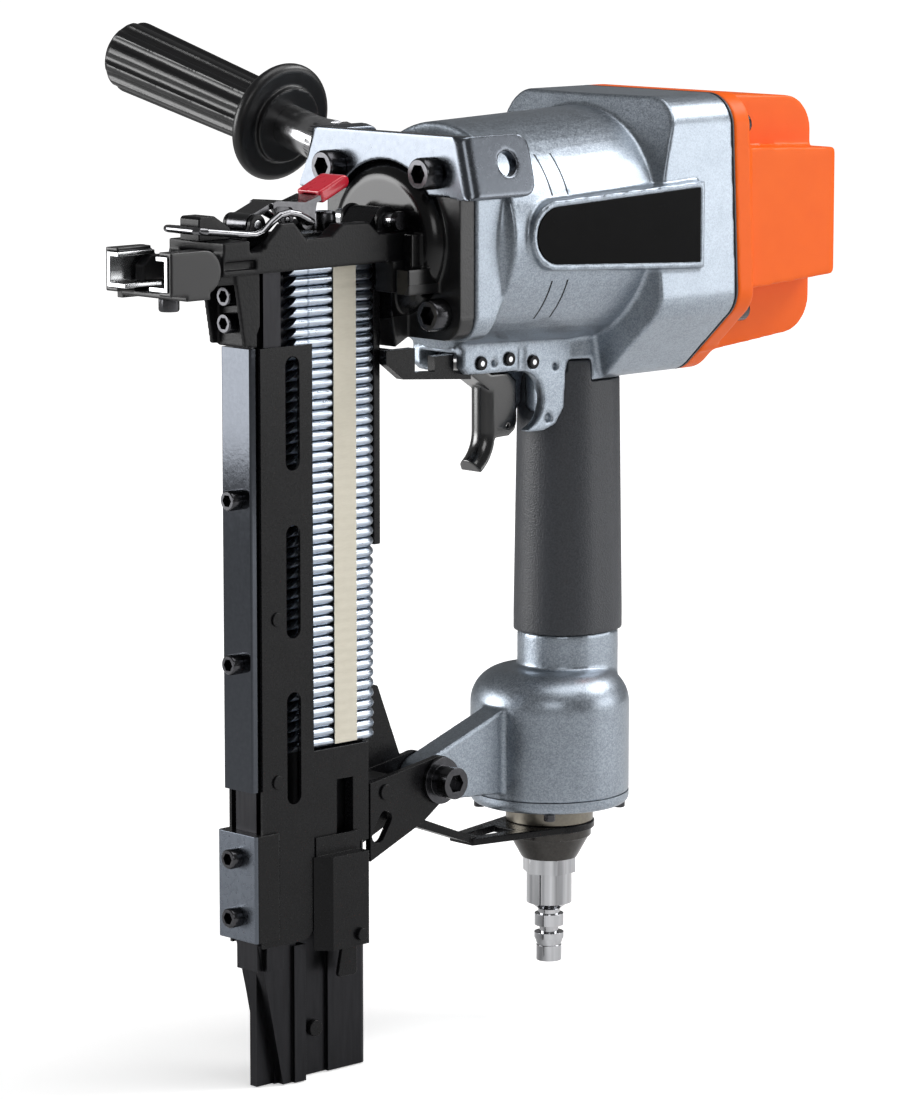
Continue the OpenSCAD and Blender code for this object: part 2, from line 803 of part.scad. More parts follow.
module rear_cap() {
  x0 = cap_x0;
  x1 = cap_x1;
  color([0.95, 0.35, 0.06])
    difference() {
      union() {
        along_x(cap_x0, cap_body_x0)
          flange_outline();
        intersection() {
          along_y(-60, 60)
            translate([0, drive_z + 1.5])
              round_outline([[x0 - 12, cap_side_half], [x1, cap_side_half - 4],
                [x1, 4 - cap_side_half], [x0 - 12, -cap_side_half]], 6);
          along_z(drive_z - 60, drive_z + 60)
            round_outline([[x0 - 12, -cap_side_reach], [x1, -cap_side_reach + 3],
              [x1, cap_side_reach - 3], [x0 - 12, cap_side_reach]], 8);
          block(x0, x1 + 5, -60, 60, drive_z - 60, drive_z + 60);
        }
        intersection() {
          along_y(-cap_mid_half, cap_mid_half)
            translate([0, drive_z])
              round_outline([[x0 - 20, cap_mid_up], [x1 - 3, cap_mid_up - 5], [x1 - 3, -cap_mid_down + 8],
                [x0 - 20, -cap_mid_down]], cap_edge_r);
          along_x(x0, x1 + 1)
            translate([0, drive_z])
              round_outline([[-cap_mid_half, -cap_mid_down], [cap_mid_half, -cap_mid_down],
                [cap_mid_half, cap_mid_up], [-cap_mid_half, cap_mid_up]], 6);
        }
      }
      translate([0, 0, drive_z]) {
        rod_x(chamber_r, cap_x0 - 1, cap_bore_x1);
        rod_x(4, cap_bore_x1 - 1, cap_x1 + 1);
      }
      cap_bolt_places()
        rod_x(cap_bolt_d / 2 + 0.2, cap_x0 - 1, cap_body_x0 + 1);
      cap_bolt_places()
        rod_x(0.81 * cap_bolt_d + 1, cap_body_x0, cap_x1 + 1);
    }
}

module cap_bolts() {
  color([0.13, 0.13, 0.14])
    cap_bolt_places()
      translate([cap_body_x0, 0, 0])
        screw_back(cap_bolt_d, cap_flange_t + gasket_t + 18);
}

module cylinder_sleeve() {
  color([0.62, 0.63, 0.65])
    translate([0, 0, drive_z])
      difference() {
        rod_x(sleeve_r, sleeve_x0, sleeve_x1);
        rod_x(bore_r, sleeve_x0 - 1, sleeve_x1 + 1);
      }
}

module bumper() {
  color([0.06, 0.06, 0.06])
    translate([0, 0, drive_z])
      difference() {
        rod_x(bore_r - seat_gap, sleeve_x0, sleeve_x0 + bumper_len);
        rod_x(blade_w / 2 + 2.5, sleeve_x0 - 1, sleeve_x0 + bumper_len + 1);
      }
}

module piston() {
  color([0.7, 0.71, 0.72])
    translate([0, 0, drive_z])
      difference() {
        rod_x(bore_r - run_gap, piston_x0, piston_x1);
        difference() {
          rod_x(bore_r + 1, piston_x0 + 4, piston_x0 + 8);
          rod_x(bore_r - 3.2, piston_x0 + 3, piston_x0 + 9);
        }
        rod_x(bore_r - 8, piston_x1 - 3, piston_x1 + 1);
      }
}

module piston_ring() {
  color([0.05, 0.05, 0.05])
    translate([piston_x0 + 6, 0, drive_z])
      rotate([0, 90, 0])
        rotate_extrude()
          translate([bore_r - 1.65, 0])
            circle(1.5);
}

module driver_blade() {
  color([0.55, 0.56, 0.58])
    translate([0, 0, drive_z])
      block(-blade_tip, piston_x0, -blade_w / 2, blade_w / 2, -blade_t / 2, blade_t / 2);
}

module head_valve() {
  color([0.2, 0.2, 0.21])
    translate([0, 0, drive_z])
      difference() {
        rod_x(chamber_r - run_gap, valve_x0, valve_x0 + valve_len);
        rod_x(8, valve_x0 - 1, valve_x0 + valve_len + 1);
        difference() {
          rod_x(26, valve_x0 + 7, valve_x0 + valve_len + 1);
          rod_x(16, valve_x0 + 6, valve_x0 + valve_len + 2);
        }
      }
}

module valve_spring() {
  s0 = valve_x0 + 7 + 1.4;
  s1 = cap_bore_x1 - 1.4;
  color([0.6, 0.6, 0.62])
    translate([0, 0, drive_z])
      wire([for (a = [0:30:1080]) [s0 + (s1 - s0) * a / 1080, 21 * cos(a), 21 * sin(a)]],
        1.2, [1, 0, 0], 8);
}

module hand_grip() {
  color([0.1, 0.1, 0.105])
    difference() {
      hull() {
        along_z(grip_low, grip_low + 8)
          oval(oval_half, grip_r_low, $fn = 48);
        along_z(grip_high - 30, grip_front_high)
          oval(oval_half, grip_r_top, $fn = 48);
      }
      along_z(grip_low - 1, grip_front_high + 1)
        oval(oval_half, core_r + seat_gap);
      along_y(-40, 40)
        cheek_outline(0.15);
      block(-60, -15, -40, 40, grip_front_high - 5, grip_front_high + 1);
      block(-0.15 - grip_step_x, 40, -40, 40, grip_high, grip_front_high + 1);
    }
}

module end_cap() {
  color([0.7, 0.71, 0.72])
    translate([-bulb_x, 0, 0])
      difference() {
        rotate_extrude() {
          translate([0, bulb_low - end_cap_t])
            square([bulb_r - 3, end_cap_t]);
          translate([0, bulb_low - end_cap_t + 3])
            square([bulb_r, end_cap_t - 3]);
          translate([bulb_r - 3, bulb_low - end_cap_t + 3])
            circle(3);
        }
        rod_z(bush_core_r + seat_gap, bulb_low - end_cap_t - 1, bulb_low + 1);
        rod_z(60, bulb_low, bulb_low + 10);
        for (a = [45:90:315])
          translate([(bulb_r - 4) * cos(a), (bulb_r - 4) * sin(a), 0])
            rod_z(1.7, bulb_low - end_cap_t - 1, bulb_low + 1);
      }
}

module end_cap_screws() {
  color([0.13, 0.13, 0.14])
    for (a = [45:90:315])
      translate([-bulb_x + (bulb_r - 4) * cos(a), (bulb_r - 4) * sin(a), bulb_low - end_cap_t])
        rotate([180, 0, 0])
          socket_screw(3, end_cap_t + 6);
}

module inlet_bush() {
  color([0.72, 0.6, 0.36])
    translate([-bulb_x, 0, 0])
      difference() {
        union() {
          rod_z(bush_r, stay_z, inlet_z);
          rod_z(bush_core_r, cone_z, bulb_low + 4);
        }
        rod_z(7, cone_z - 1, bulb_low + 5);
      }
}

module stay_plate() {
  color([0.06, 0.06, 0.06])
    union() {
      along_z(cone_z, stay_z)
        stay_outline();
      along_y(-lug_half + 0.2, lug_half - 0.2)
        polygon([[-59, cone_z], [-59, stay_z], [-95, -106.5], [-95, -100], [-98, -100],
          [-98, -109.5]]);
    }
}

module cone_nut() {
  color([0.07, 0.07, 0.07])
    translate([-bulb_x, 0, 0])
      difference() {
        union() {
          rod_z(bush_r - 0.8, cone_z - 3.5, cone_z);
          translate([0, 0, plug_z])
            cylinder(r1 = 11.6, r2 = bush_r - 1.5, h = cone_h - 3.5);
        }
        rod_z(7, plug_z - 1, cone_z + 1);
      }
}

module air_plug() {
  z0 = plug_z - 6.5;
  z1 = z0 - 13;
  color([0.8, 0.8, 0.8])
    translate([-bulb_x, 0, 0])
      difference() {
        union() {
          rod_z(6.8, plug_z - 1, plug_z + 10);
          translate([0, 0, z0])
            cylinder(r = plug_hex / 2, h = 6.5, $fn = 6);
          rod_z(plug_r, z1, z0);
          translate([0, 0, z1 - 3])
            cylinder(r1 = 4.6, r2 = plug_r - 1, h = 3);
          rod_z(4.6, z1 - 5, z1 - 3);
          rod_z(6.1, z1 - 10, z1 - 5);
          rod_z(4, z1 - 13, z1 - 10);
          rod_z(6.2, z1 - 15.5, z1 - 13);
          translate([0, 0, z1 - 18.5])
            cylinder(r1 = plug_tip_r - 0.3, r2 = 6, h = 3);
          rod_z(plug_tip_r, z1 - 18.5 - plug_tip_len, z1 - 18.5);
        }
        rod_z(1.9, z1 - 20 - plug_tip_len, plug_z + 11);
      }
}

module trigger() {
  tx = trigger_set - trigger_x;
  r = trigger_bar_r;
  top = stem_low - 0.3;
  color([0.07, 0.07, 0.07])
    difference() {
      union() {
        along_y(-trigger_half, trigger_half)
          strip([-trigger_x, trigger_z], [tx - 2, 66.5], 3);
        translate([-trigger_x, 0, trigger_z])
          rod_y(4, -trigger_half, trigger_half);
        intersection() {
          translate([tx, 0, 0])
            rod_z(r, 46, 69);
          block(tx - r - 1, tx, -r - 1, r + 1, 40, 80);
        }
        translate([tx - r - hook_r, 0, 46])
          rotate([-90, 0, 0])
            rotate_extrude(angle = 55)
              intersection() {
                translate([hook_r + r, 0])
                  circle(r);
                translate([hook_r - 1, -r - 1])
                  square([r + 1, 2 * r + 2]);
              }
        both_sides()
          along_y(trigger_half - 2.2, trigger_half)
            polygon([[tx - 2, top], [-40.5, top], [-36.2, 66.5], [-35.9, 49.5], [-37, 46.2], [-40.3, 44],
              [tx - 1, 43.6]]);
        along_y(-trigger_half, trigger_half)
          polygon([[tx - 4, top], [-40.5, top], [-38.4, 68], [-38.4, 66], [tx - 4, 66]]);
      }
      translate([-trigger_x, 0, trigger_z])
        rod_y(pin_r + run_gap, -20, 20);
      translate([-40.9, 0, 48.1])
        rod_y(0.9, -20, 20);
    }
}

module trigger_pins() {
  color([0.5, 0.5, 0.51])
    for (p = cross_pins)
      translate([p[0], 0, p[1]]) {
        rod_y(pin_r, -cheek_half - 0.4, cheek_half + 0.6);
        rod_y(pin_r + 0.8, -cheek_half - 1.1, -cheek_half);
      }
}

module valve_body() {
  color([0.15, 0.15, 0.16])
    translate([-stem_x, 0, 0])
      difference() {
        rod_z(8, trigger_z + 5, drive_z - sleeve_r - 1);
        rod_z(stem_r + run_gap, trigger_z, drive_z);
      }
}

module valve_stem() {
  color([0.7, 0.62, 0.4])
    translate([-stem_x, 0, 0])
      rod_z(stem_r, stem_low, drive_z - sleeve_r - 5);
}

module nose_base() {
  color([0.06, 0.06, 0.065])
    difference() {
      union() {
        along_x(nose_x, -barrel_front)
          square_outline(nose_half, 9);
        translate([nose_x, 0, drive_z])
          rotate([0, -90, 0])
            rotate_extrude() {
              square([dome_r - dome_len, dome_len]);
              intersection() {
                translate([dome_r - dome_len, 0])
                  circle(dome_len);
                square([dome_r, dome_len]);
              }
            }
        along_y(-9, 9)
          polygon([[nose_x + 1, drive_z - 38], [nose_x - 7, drive_z - 42], [nose_x - 9, drive_z - 28],
            [nose_x - 9, drive_z - 20], [nose_x + 1, drive_z - 16]]);
        block(dome_x - 5.5, dome_x + 1, -24, -19.4, drive_z - 10, drive_z + 4);
        block(dome_x - 10, nose_x + 1, -27, -19.4, drive_z - 19.5, drive_z - 9.5);
      }
      translate([0, 0, drive_z])
        block(nose_x - 30, 0, -blade_w / 2 - slide_gap, blade_w / 2 + slide_gap,
          -blade_t / 2 - slide_gap, blade_t / 2 + slide_gap);
      for (sz = [-1, 1])
        nose_bolt_places(sz)
          rod_x(nose_bolt_d / 2 + 0.2, nose_x - 1, 0);
      nose_bolt_places(1)
        rod_x(0.81 * nose_bolt_d + 0.3, nose_x - 20, nose_x);
      nose_bolt_places(-1)
        rod_x(0.81 * nose_bolt_d + 0.3, nose_x - 20, nose_x);
    }
}

module nose_bolts() {
  color([0.1, 0.1, 0.11])
    nose_bolt_places(-1)
      translate([nose_x, 0, 0])
        screw_front(nose_bolt_d, nose_flange_t + 13);
}

module bracket_ear() {
  translate([bracket_x, -bracket_half, ear_top_z])
    rotate([-ear_tilt, 0, 0])
      along_y(0, bracket_t)
        union() {
          translate([0, -ear_h])
            square([ear_len - 6, ear_h]);
          translate([0, 6 - ear_h])
            square([ear_len, ear_h - 12]);
          for (z = [-6, 6 - ear_h])
            translate([ear_len - 6, z])
              circle(6);
        }
}

module handle_bracket() {
  low = bracket_half + ear_h * sin(ear_tilt);
  color([0.24, 0.24, 0.25])
    difference() {
      union() {
        along_x(bracket_x, nose_x)
          polygon([[-bracket_half, ear_top_z], [bracket_half, ear_top_z],
            [low, ear_top_z - ear_h * cos(ear_tilt)], [-low, ear_top_z - ear_h * cos(ear_tilt)]]);
        both_sides()
          bracket_ear();
      }
      translate([0, 0, drive_z])
        rod_x(dome_r + 0.8, bracket_x - 1, nose_x + 1);
      nose_bolt_places(1)
        rod_x(nose_bolt_d / 2 + 0.2, bracket_x - 1, nose_x + 1);
      along_x(nose_x, -barrel_front + collar_len)
        square_outline(max(nose_half, collar_half) + 0.4, 9.4);
      translate([-barrel_front, 0, drive_z])
        rotate([0, 90, 0])
          cylinder(r1 = barrel_r_front + 0.4, r2 = barrel_r_back + 0.4, h = barrel_front + barrel_back);
      both_sides()
        translate([ear_pos_x, -ear_hole_y, ear_hole_z])
          rotate([-ear_tilt, 0, 0])
            rod_y(ear_hole_r, -5, bracket_t + 5);
    }
}

module bracket_bolts() {
  color([0.1, 0.1, 0.11])
    nose_bolt_places(1)
      translate([bracket_x, 0, 0])
        screw_front(nose_bolt_d, bracket_t + nose_flange_t + 13);
}

// The side handle is drawn along +Z and laid along the far ear's normal
module side_handle_place() {
  translate([ear_pos_x, ear_hole_y, ear_hole_z])
    rotate([ear_tilt - 90, 0, 0])
      children();
}

module side_neck() {
  color([0.3, 0.3, 0.31])
    side_handle_place()
      union() {
        rod_z(ear_hole_r - seat_gap, -bracket_t + 0.5, 1);
        cylinder(r = side_neck_r + 2.4, h = 7, $fn = 6);
        translate([0, 0, 7])
          cylinder(r1 = side_neck_r + 1.5, r2 = side_neck_r, h = 9);
        rod_z(side_neck_r, 15, side_neck_len);
        rod_z(ear_hole_r - 1, side_neck_len - 1, side_neck_len + 50);
      }
}

module side_grip() {
  s0 = side_neck_len;
  s1 = s0 + 3 + guard_t;
  s2 = s1 + side_grip_len;
  color([0.06, 0.06, 0.06])
    side_handle_place()
      difference() {
        union() {
          rod_z(guard_r - 9, s0, s0 + 4);
          translate([0, 0, s0 + 3])
            rotate_extrude() {
              square([guard_r - guard_t / 2, guard_t]);
              translate([guard_r - guard_t / 2, guard_t / 2])
                circle(guard_t / 2);
            }
          translate([0, 0, s1 - 1])
            cylinder(r1 = side_grip_r0 + 3, r2 = side_grip_r0 - 1, h = 9);
          translate([0, 0, s1])
            cylinder(r1 = side_grip_r0, r2 = side_grip_r1, h = side_grip_len - 6);
          translate([0, 0, s2 - 6])
            rotate_extrude() {
              square([side_grip_r1 - 6, 6]);
              intersection() {
                translate([side_grip_r1 - 6, 0])
                  circle(6);
                square([side_grip_r1, 6]);
              }
            }
        }
        rod_z(ear_hole_r - 1 + seat_gap, s0 - 1, s0 + 51);
        for (k = [0:flute_count - 1])
          rotate([0, 0, 360 * k / flute_count])
            translate([side_grip_r0 + flute_r - 1.5, 0, s1 + 7])
              rotate([0, atan2(side_grip_r1 - side_grip_r0, side_grip_len), 0])
                cylinder(r = flute_r, h = side_grip_len + 10);
      }
}

module nose_frame() {
  z = drive_z;
  top = z + beam_up;
  low = z - beam_down;
  color([0.07, 0.07, 0.075])
    difference() {
      union() {
        both_sides() {
          along_y(beam_in, beam_half)
            polygon([[-beam_front, low], [dome_x, low], [dome_x, z + 4.5], [-122, z + 4.5],
              [-128, z + 9.5], [-142, z + 9.5], [-148, z + 5], [-178, z + 4.5],
              [-185, top], [-beam_front, top]]);
          along_y(13, beam_half)
            polygon([[-182, low + 4], [-182, z + 4], [-174, z + 11.5], [-167, z + 11.5],
              [-161, z + 5], [-161, low + 4]]);
          along_y(beam_in, 11)
            translate([-hinge_x, hinge_z])
              circle(5.6);
          along_y(beam_in, 11)
            polygon([[-hinge_x - 5.6, z + 4], [-hinge_x + 5.6, z + 4], [-hinge_x + 5.6, hinge_z],
              [-hinge_x - 5.6, hinge_z]]);
          along_y(beam_in, beam_half - 1.5)
            polygon([[-222, z - 8.8], [-beam_front + 1, z - 8.8], [-beam_front + 1, z + 0.6],
              [-218, z + 0.6], [-222, z - 3]]);
          along_y(8.4, 10.4)
            polygon([[-193, low + 1], [-rail_front - 0.3, low + 1], [-rail_front - 0.3, 100],
              [-184, 92.5], [-188, 92.5]]);
          block(-118, dome_x, 8.9, 19, z - 19, low + 0.5);
        }
        block(-beam_front, -rail_front - 0.3, -beam_in - 1, beam_in + 1, low - 4, z - blade_t / 2 - slide_gap);
        block(-screw_seat, -rail_front - 0.3, -8.6, 8.6, plate_high + 0.6, low + 1);
        block(-beam_front + 0.4, -190, -beam_half, beam_half, z + blade_t / 2 + slide_gap, z + 6);
        both_sides()
          block(-beam_front + 0.4, -190, beam_in + 1, beam_half, z, z + 4);
      }
      both_sides()
        block(-203, -187, beam_half - 2, beam_half + 1, z - 5, z - 1.5);
      translate([-hinge_x, 0, hinge_z])
        rod_y(hinge_r + run_gap, -30, 30);
      for (h = leg_screws)
        translate([0, 0, h])
          rod_x(mag_screw_d / 2 + 0.1, -200, -170);
    }
}

module hinge_pin() {
  color([0.5, 0.5, 0.51])
    translate([-hinge_x, 0, hinge_z])
      difference() {
        union() {
          rod_y(hinge_r, -beam_half - 0.5, beam_half + 1.5);
          rod_y(hinge_r + 0.8, -beam_half - 3.5, -beam_half);
        }
        rod_y(1.2, beam_half + 0.6, beam_half + 2);
      }
}

module nose_catch() {
  color([0.08, 0.08, 0.08])
    along_y(-5.6, 5.6)
      polygon([[-207, drive_z + 6], [-207, drive_z + catch_up - 1], [-206, drive_z + catch_up],
        [-199, drive_z + catch_up], [-191, drive_z + catch_up - 5], [-191, drive_z + 6]]);
}

module nose_door() {
  color([0.09, 0.09, 0.09])
    difference() {
      union() {
        block(-door_front, -hinge_x, -channel_half + slide_gap, channel_half - slide_gap, door_z0, door_z1);
        along_y(-channel_half + slide_gap, channel_half - slide_gap)
          translate([-hinge_x, hinge_z])
            circle(5);
        along_y(-channel_half + slide_gap, channel_half - slide_gap)
          polygon([[-hinge_x - 12, door_z0], [-hinge_x, door_z0], [-hinge_x, hinge_z + 4],
            [-hinge_x - 3, hinge_z + 4]]);
        both_sides()
          along_y(6, channel_half - slide_gap)
            union() {
              translate([-lever_x, lever_z])
                circle(4);
              polygon([[-lever_x - 4, lever_z], [-lever_x + 4, lever_z], [-lever_x + 7, door_z0 + 1],
                [-lever_x - 7, door_z0 + 1]]);
            }
      }
      translate([-hinge_x, 0, hinge_z])
        rod_y(hinge_r + run_gap, -20, 20);
      translate([-lever_x, 0, lever_z])
        rod_y(1.8 + seat_gap, -20, 20);
      translate([-137, 0, 0])
        rod_z(2.5, door_z0 - 1, door_z1 + 1);
    }
}

module door_screw() {
  color([0.06, 0.06, 0.06])
    translate([-137, 0, door_z1])
      difference() {
        union() {
          rod_z(4.6, 0, 7.2);
          rod_z(2.4, -door_t + 0.2, 1);
        }
        translate([0, 0, 4])
          cylinder(r = 2.8, h = 5, $fn = 6);
      }
}

module lever_pin() {
  color([0.55, 0.55, 0.56])
    translate([-lever_x, 0, lever_z])
      rod_y(1.8, -channel_half + slide_gap + 0.1, channel_half - slide_gap - 0.1);
}

// Where the lever's red grip starts, with X along the grip
module lever_grip_place() {
  translate([-145, 0, lever_z + 8.4])
    rotate([0, -23.4, 0])
      children();
}

module latch_lever() {
  h = lever_t / 2;
  color([0.4, 0.4, 0.41])
    difference() {
      union() {
        translate([-lever_x, 0, lever_z])
          rod_y(lever_barrel_r, -5.6, 5.6);
        difference() {
          along_y(-lever_half, lever_half)
            bent_sheet([[-lever_x - 1, lever_z + 2.6], [-168, lever_z + 7.4], [-153, lever_z + 6],
              [-145, lever_z + 8.4]], h);
          both_sides()
            block(-lever_x - 10, -170, 5.6, 10, lever_z - 5, lever_z + 12);
        }
        lever_grip_place()
          block(-1, 9, -4, 4, -h + 0.3, h - 0.3);
        both_sides() {
          translate([-bail_x, 0, bail_z])
            rod_y(3.2, lever_half - 2, lever_half);
          along_y(lever_half - 2, lever_half)
            polygon([[-bail_x - 3.2, bail_z], [-bail_x + 3.2, bail_z], [-bail_x + 5, lever_z + 7],
              [-bail_x - 10, lever_z + 7]]);
        }
      }
      translate([-lever_x, 0, lever_z])
        rod_y(1.8 + run_gap, -20, 20);
      translate([-bail_x, 0, bail_z])
        rod_y(bail_r + 0.1, -20, 20);
    }
}

module lever_grip() {
  h = lever_t / 2;
  color([0.75, 0.05, 0.04])
    lever_grip_place()
      difference() {
        union() {
          block(0.3, 14, -lever_half + 0.2, lever_half - 0.2, -h - 1.6, h + 1.6);
          translate([14, 0, 0])
            rod_y(h + 1.6, -lever_half + 0.2, lever_half - 0.2);
        }
        block(0, 9.1, -4.1, 4.1, -h + 0.2, h - 0.2);
      }
}

module latch_bail() {
  x0 = -bail_front;
  b = bail_half;
  c = 3;
  side = [[x0, b - c, bail_z], [x0 + 0.9, b - 0.9, bail_z], [x0 + c, b, bail_z - 0.2],
    [-183, b, bail_z - 3.1], [-179, b, bail_z - 2.4], [-174.5, b, bail_z + 1.2], [-170, b, bail_z + 3.8],
    [-165, b, bail_z + 4.6], [-160, b, bail_z + 3.6], [-bail_x - 3, b, bail_z + 1.2],
    [-bail_x - 0.8, b - 0.4, bail_z + 0.2], [-bail_x, b - 1.6, bail_z], [-bail_x, lever_half - 2.2, bail_z]];
  n = len(side);
  color([0.6, 0.6, 0.62])
    wire(concat([for (i = [n - 1:-1:0]) [side[i][0], -side[i][1], side[i][2]]], side), bail_r, [0, 0, 1], 10);
}

module jaw_plates() {
  z0 = jaw_z0 + jaw_cover_t + 0.1;
  z1 = jaw_z1 - jaw_cover_t - 0.1;
  y1 = jaw_half - jaw_cover_t - 0.1;
  color([0.75, 0.75, 0.76])
    union() {
      both_sides() {
        block(-jaw_front, -jaw_back - 7.5, y1 - jaw_t, y1, z0, z1);
        block(-jaw_front, -jaw_back - 7.5, jaw_gap, y1, z0, z0 + jaw_t);
        block(-jaw_front, -jaw_back - 7.5, 11, y1, z1 - jaw_t, z1);
      }
    }
}

module jaw_covers() {
  mid = (jaw_z0 + jaw_z1) / 2;
  r = (jaw_z1 - jaw_z0) / 2;
  t = jaw_cover_t;
  color([0.05, 0.05, 0.05])
    union() {
      both_sides()
        difference() {
          along_y(12, jaw_half)
            union() {
              translate([-jaw_front + 0.6, jaw_z0])
                square([jaw_front - 0.6 - jaw_back - r, 2 * r]);
              translate([-jaw_back - r, mid])
                circle(r);
            }
          along_y(11, jaw_half - t)
            union() {
              translate([-jaw_front - 1, jaw_z0 + t])
                square([jaw_front + 1 - jaw_back - r, 2 * r - 2 * t]);
              translate([-jaw_back - r, mid])
                circle(r - t);
            }
          block(-jaw_back - r, -jaw_back + 1, 11, jaw_half - t, jaw_z0 - 1, jaw_z1 + 1);
        }
      difference() {
        block(-225, -213, -jaw_half, jaw_half + 0.6, jaw_z0 - 2.2, jaw_z0 + 0.2);
        translate([-221, -4, 0])
          rod_z(2.6, jaw_z0 - 3, jaw_z0 + 3);
      }
    }
}

module jaw_screws() {
  color([0.1, 0.1, 0.11])
    translate([-221, -4, jaw_z0 - 2.2])
      rotate([180, 0, 0])
        socket_screw(5, 2.2);
}

module safety_link() {
  z = jaw_z0 - 3.5;
  y0 = link_y0;
  color([0.06, 0.06, 0.06])
    union() {
      block(-224, -118, y0, y0 + 3, z, z + 6);
      block(-124, -118, y0, y0 + 3, 78, z + 1);
      block(-124, -102, y0, y0 + 3, 78, 84.6);
      translate([-105.6, 0, trigger_z + 5])
        rod_y(3.2, -link_out + 1, y0 + 1);
      along_y(-link_out, -link_out + 4)
        polygon([[-113.2, trigger_z + 3], [-113.2, trigger_z + 8.4], [-97.6, trigger_z + 8.4],
          [-97.6, trigger_z - 1.2], [-66.5, trigger_z - 3.3], [-66.5, trigger_z - 6.7], [-104, trigger_z - 3.7]]);
      along_y(-link_out, -link_out + 4)
        polygon([[-86.7, trigger_z - 3], [-86.7, trigger_z + 4.1], [-76.2, trigger_z + 4.1],
          [-76.2, trigger_z - 4]]);
    }
}

module magazine_rail() {
  f = -rail_front;
  color([0.2, 0.2, 0.21])
    difference() {
      union() {
        along_z(-rail_low, rail_top)
          union() {
            translate([f + 3, -web_half])
              square([rail_front - 140, 2 * web_half]);
            translate([f + 11, -bead_half])
              square([rail_front - 11 - 156, 2 * bead_half]);
            translate([-140, -bead_half])
              square([140 + leg_x1, 2 * bead_half]);
            translate([leg_x1, 0])
              circle(bead_half);
          }
        along_z(-plate_low - 10, rail_top)
          union() {
            translate([f, -6])
              square([4, 12]);
            translate([f + 3, -channel_half + 0.05])
              square([9, 2 * channel_half - 0.1]);
          }
        along_y(-6.5, 6.5)
          polygon([[f, -plate_low + 1], [f + 5, -167], [f + 13, -rail_low], [-160, -rail_low],
            [-160, -plate_low - 1], [f + 8, -plate_low + 1]]);
        along_y(-8, 8)
          polygon([[-162, -rail_low], [-156, -rail_low], [-156, -plate_low - 2], [-162, -plate_low - 2]]);
        block(leg_x1 + 0.5, -106, -lug_half, lug_half, -99, -88);
      }
      for (h = concat(leg_screws, [31.6, -33.3, -110.7, -134.5]))
        translate([0, 0, h])
          rod_x(mag_screw_d / 2 + 0.1, f - 1, f + 10.5);
      for (h = [-16, -81])
        translate([f + 8, 0, h])
          rod_y(1.9, -20, 20);
      block(-144.9, -140.1, -10, 10, slider_z1 - 24 - pusher_travel, slider_z1 - 16);
      translate([-147, 0, -186])
        rod_y(1.6, -20, 20);
      translate([-113, 0, -93.5])
        rod_y(2.1, -20, 20);
    }
}

module side_plate() {
  color([0.05, 0.05, 0.05])
    difference() {
      along_y(-plate_out, -channel_half)
        union() {
          translate([-rail_front, -plate_low + 7])
            square([rail_front - plate_back, plate_high + plate_low - 7]);
          translate([-rail_front, -plate_low])
            square([rail_front - plate_back - 7, 8]);
          translate([-plate_back - 7, -plate_low + 7])
            circle(7);
        }
      along_y(-plate_out - 1, -channel_half + 1)
        for (k = [-1, 0, 1])
          strip([-163.3, window_z + k * window_pitch - window_len / 2 + window_w / 2],
            [-163.3, window_z + k * window_pitch + window_len / 2 - window_w / 2], window_w / 2);
      for (h = [-16, -81])
        translate([-rail_front + 8, 0, h])
          rod_y(1.9, -20, 20);
    }
}

module left_plate() {
  side_plate();
}

module right_plate() {
  mirror([0, 1, 0])
    side_plate();
}

module plate_rivets() {
  color([0.3, 0.3, 0.31])
    union() {
      for (h = [-16, -81])
        translate([-rail_front + 8, 0, h]) {
          rod_y(1.8, -plate_out - 0.6, plate_out + 0.6);
          rod_y(2.8, -plate_out - 0.8, -plate_out);
          rod_y(2.8, plate_out, plate_out + 0.8);
        }
      translate([-147, 0, -186]) {
        rod_y(1.5, -web_half - 0.5, web_half + 0.5);
        rod_y(3.4, -web_half - 2.4, -web_half);
        rod_y(3.4, web_half, web_half + 2.4);
      }
      translate([-113, 0, -93.5]) {
        rod_y(2, -arm_out - 0.6, arm_out + 0.6);
        rod_y(3.2, -arm_out - 1, -arm_out);
        rod_y(3.2, arm_out, arm_out + 1);
      }
    }
}

module front_bar() {
  color([0.1, 0.1, 0.1])
    difference() {
      along_z(-front_bar_low, plate_high)
        round_outline([[bar_x0, -front_bar_half], [-rail_front, -front_bar_half],
          [-rail_front, front_bar_half], [bar_x0, front_bar_half]], 0.8);
      for (h = [31.6, -33.3])
        translate([0, 0, h])
          rod_x(mag_screw_d / 2 + 0.1, bar_x0 - 1, -rail_front + 1);
    }
}

module front_screws() {
  color([0.08, 0.08, 0.08])
    union() {
      for (h = [31.6, -33.3])
        translate([bar_x0, 0, h])
          screw_front(mag_screw_d, front_bar_t + 9);
      for (h = leg_screws)
        translate([-screw_seat, 0, h])
          screw_front(mag_screw_d, screw_seat - rail_front + 9);
      for (h = [-110.7, -134.5])
        translate([clamp_x0, 0, h])
          screw_front(mag_screw_d, 5 + 9);
    }
}

module clamp_bracket() {
  color([0.07, 0.07, 0.07])
    difference() {
      union() {
        along_z(-clamp_low, -clamp_high)
          difference() {
            round_outline([[clamp_x0, -clamp_half], [-rail_front + 8, -clamp_half],
              [-rail_front + 8, clamp_half], [clamp_x0, clamp_half]], 1.6);
            translate([-rail_front, -plate_out - 0.1])
              square([30, 2 * plate_out + 0.2]);
          }
      }
      for (h = [-110.7, -134.5])
        translate([0, 0, h])
          rod_x(mag_screw_d / 2 + 0.1, clamp_x0 - 1, -rail_front + 1);
    }
}

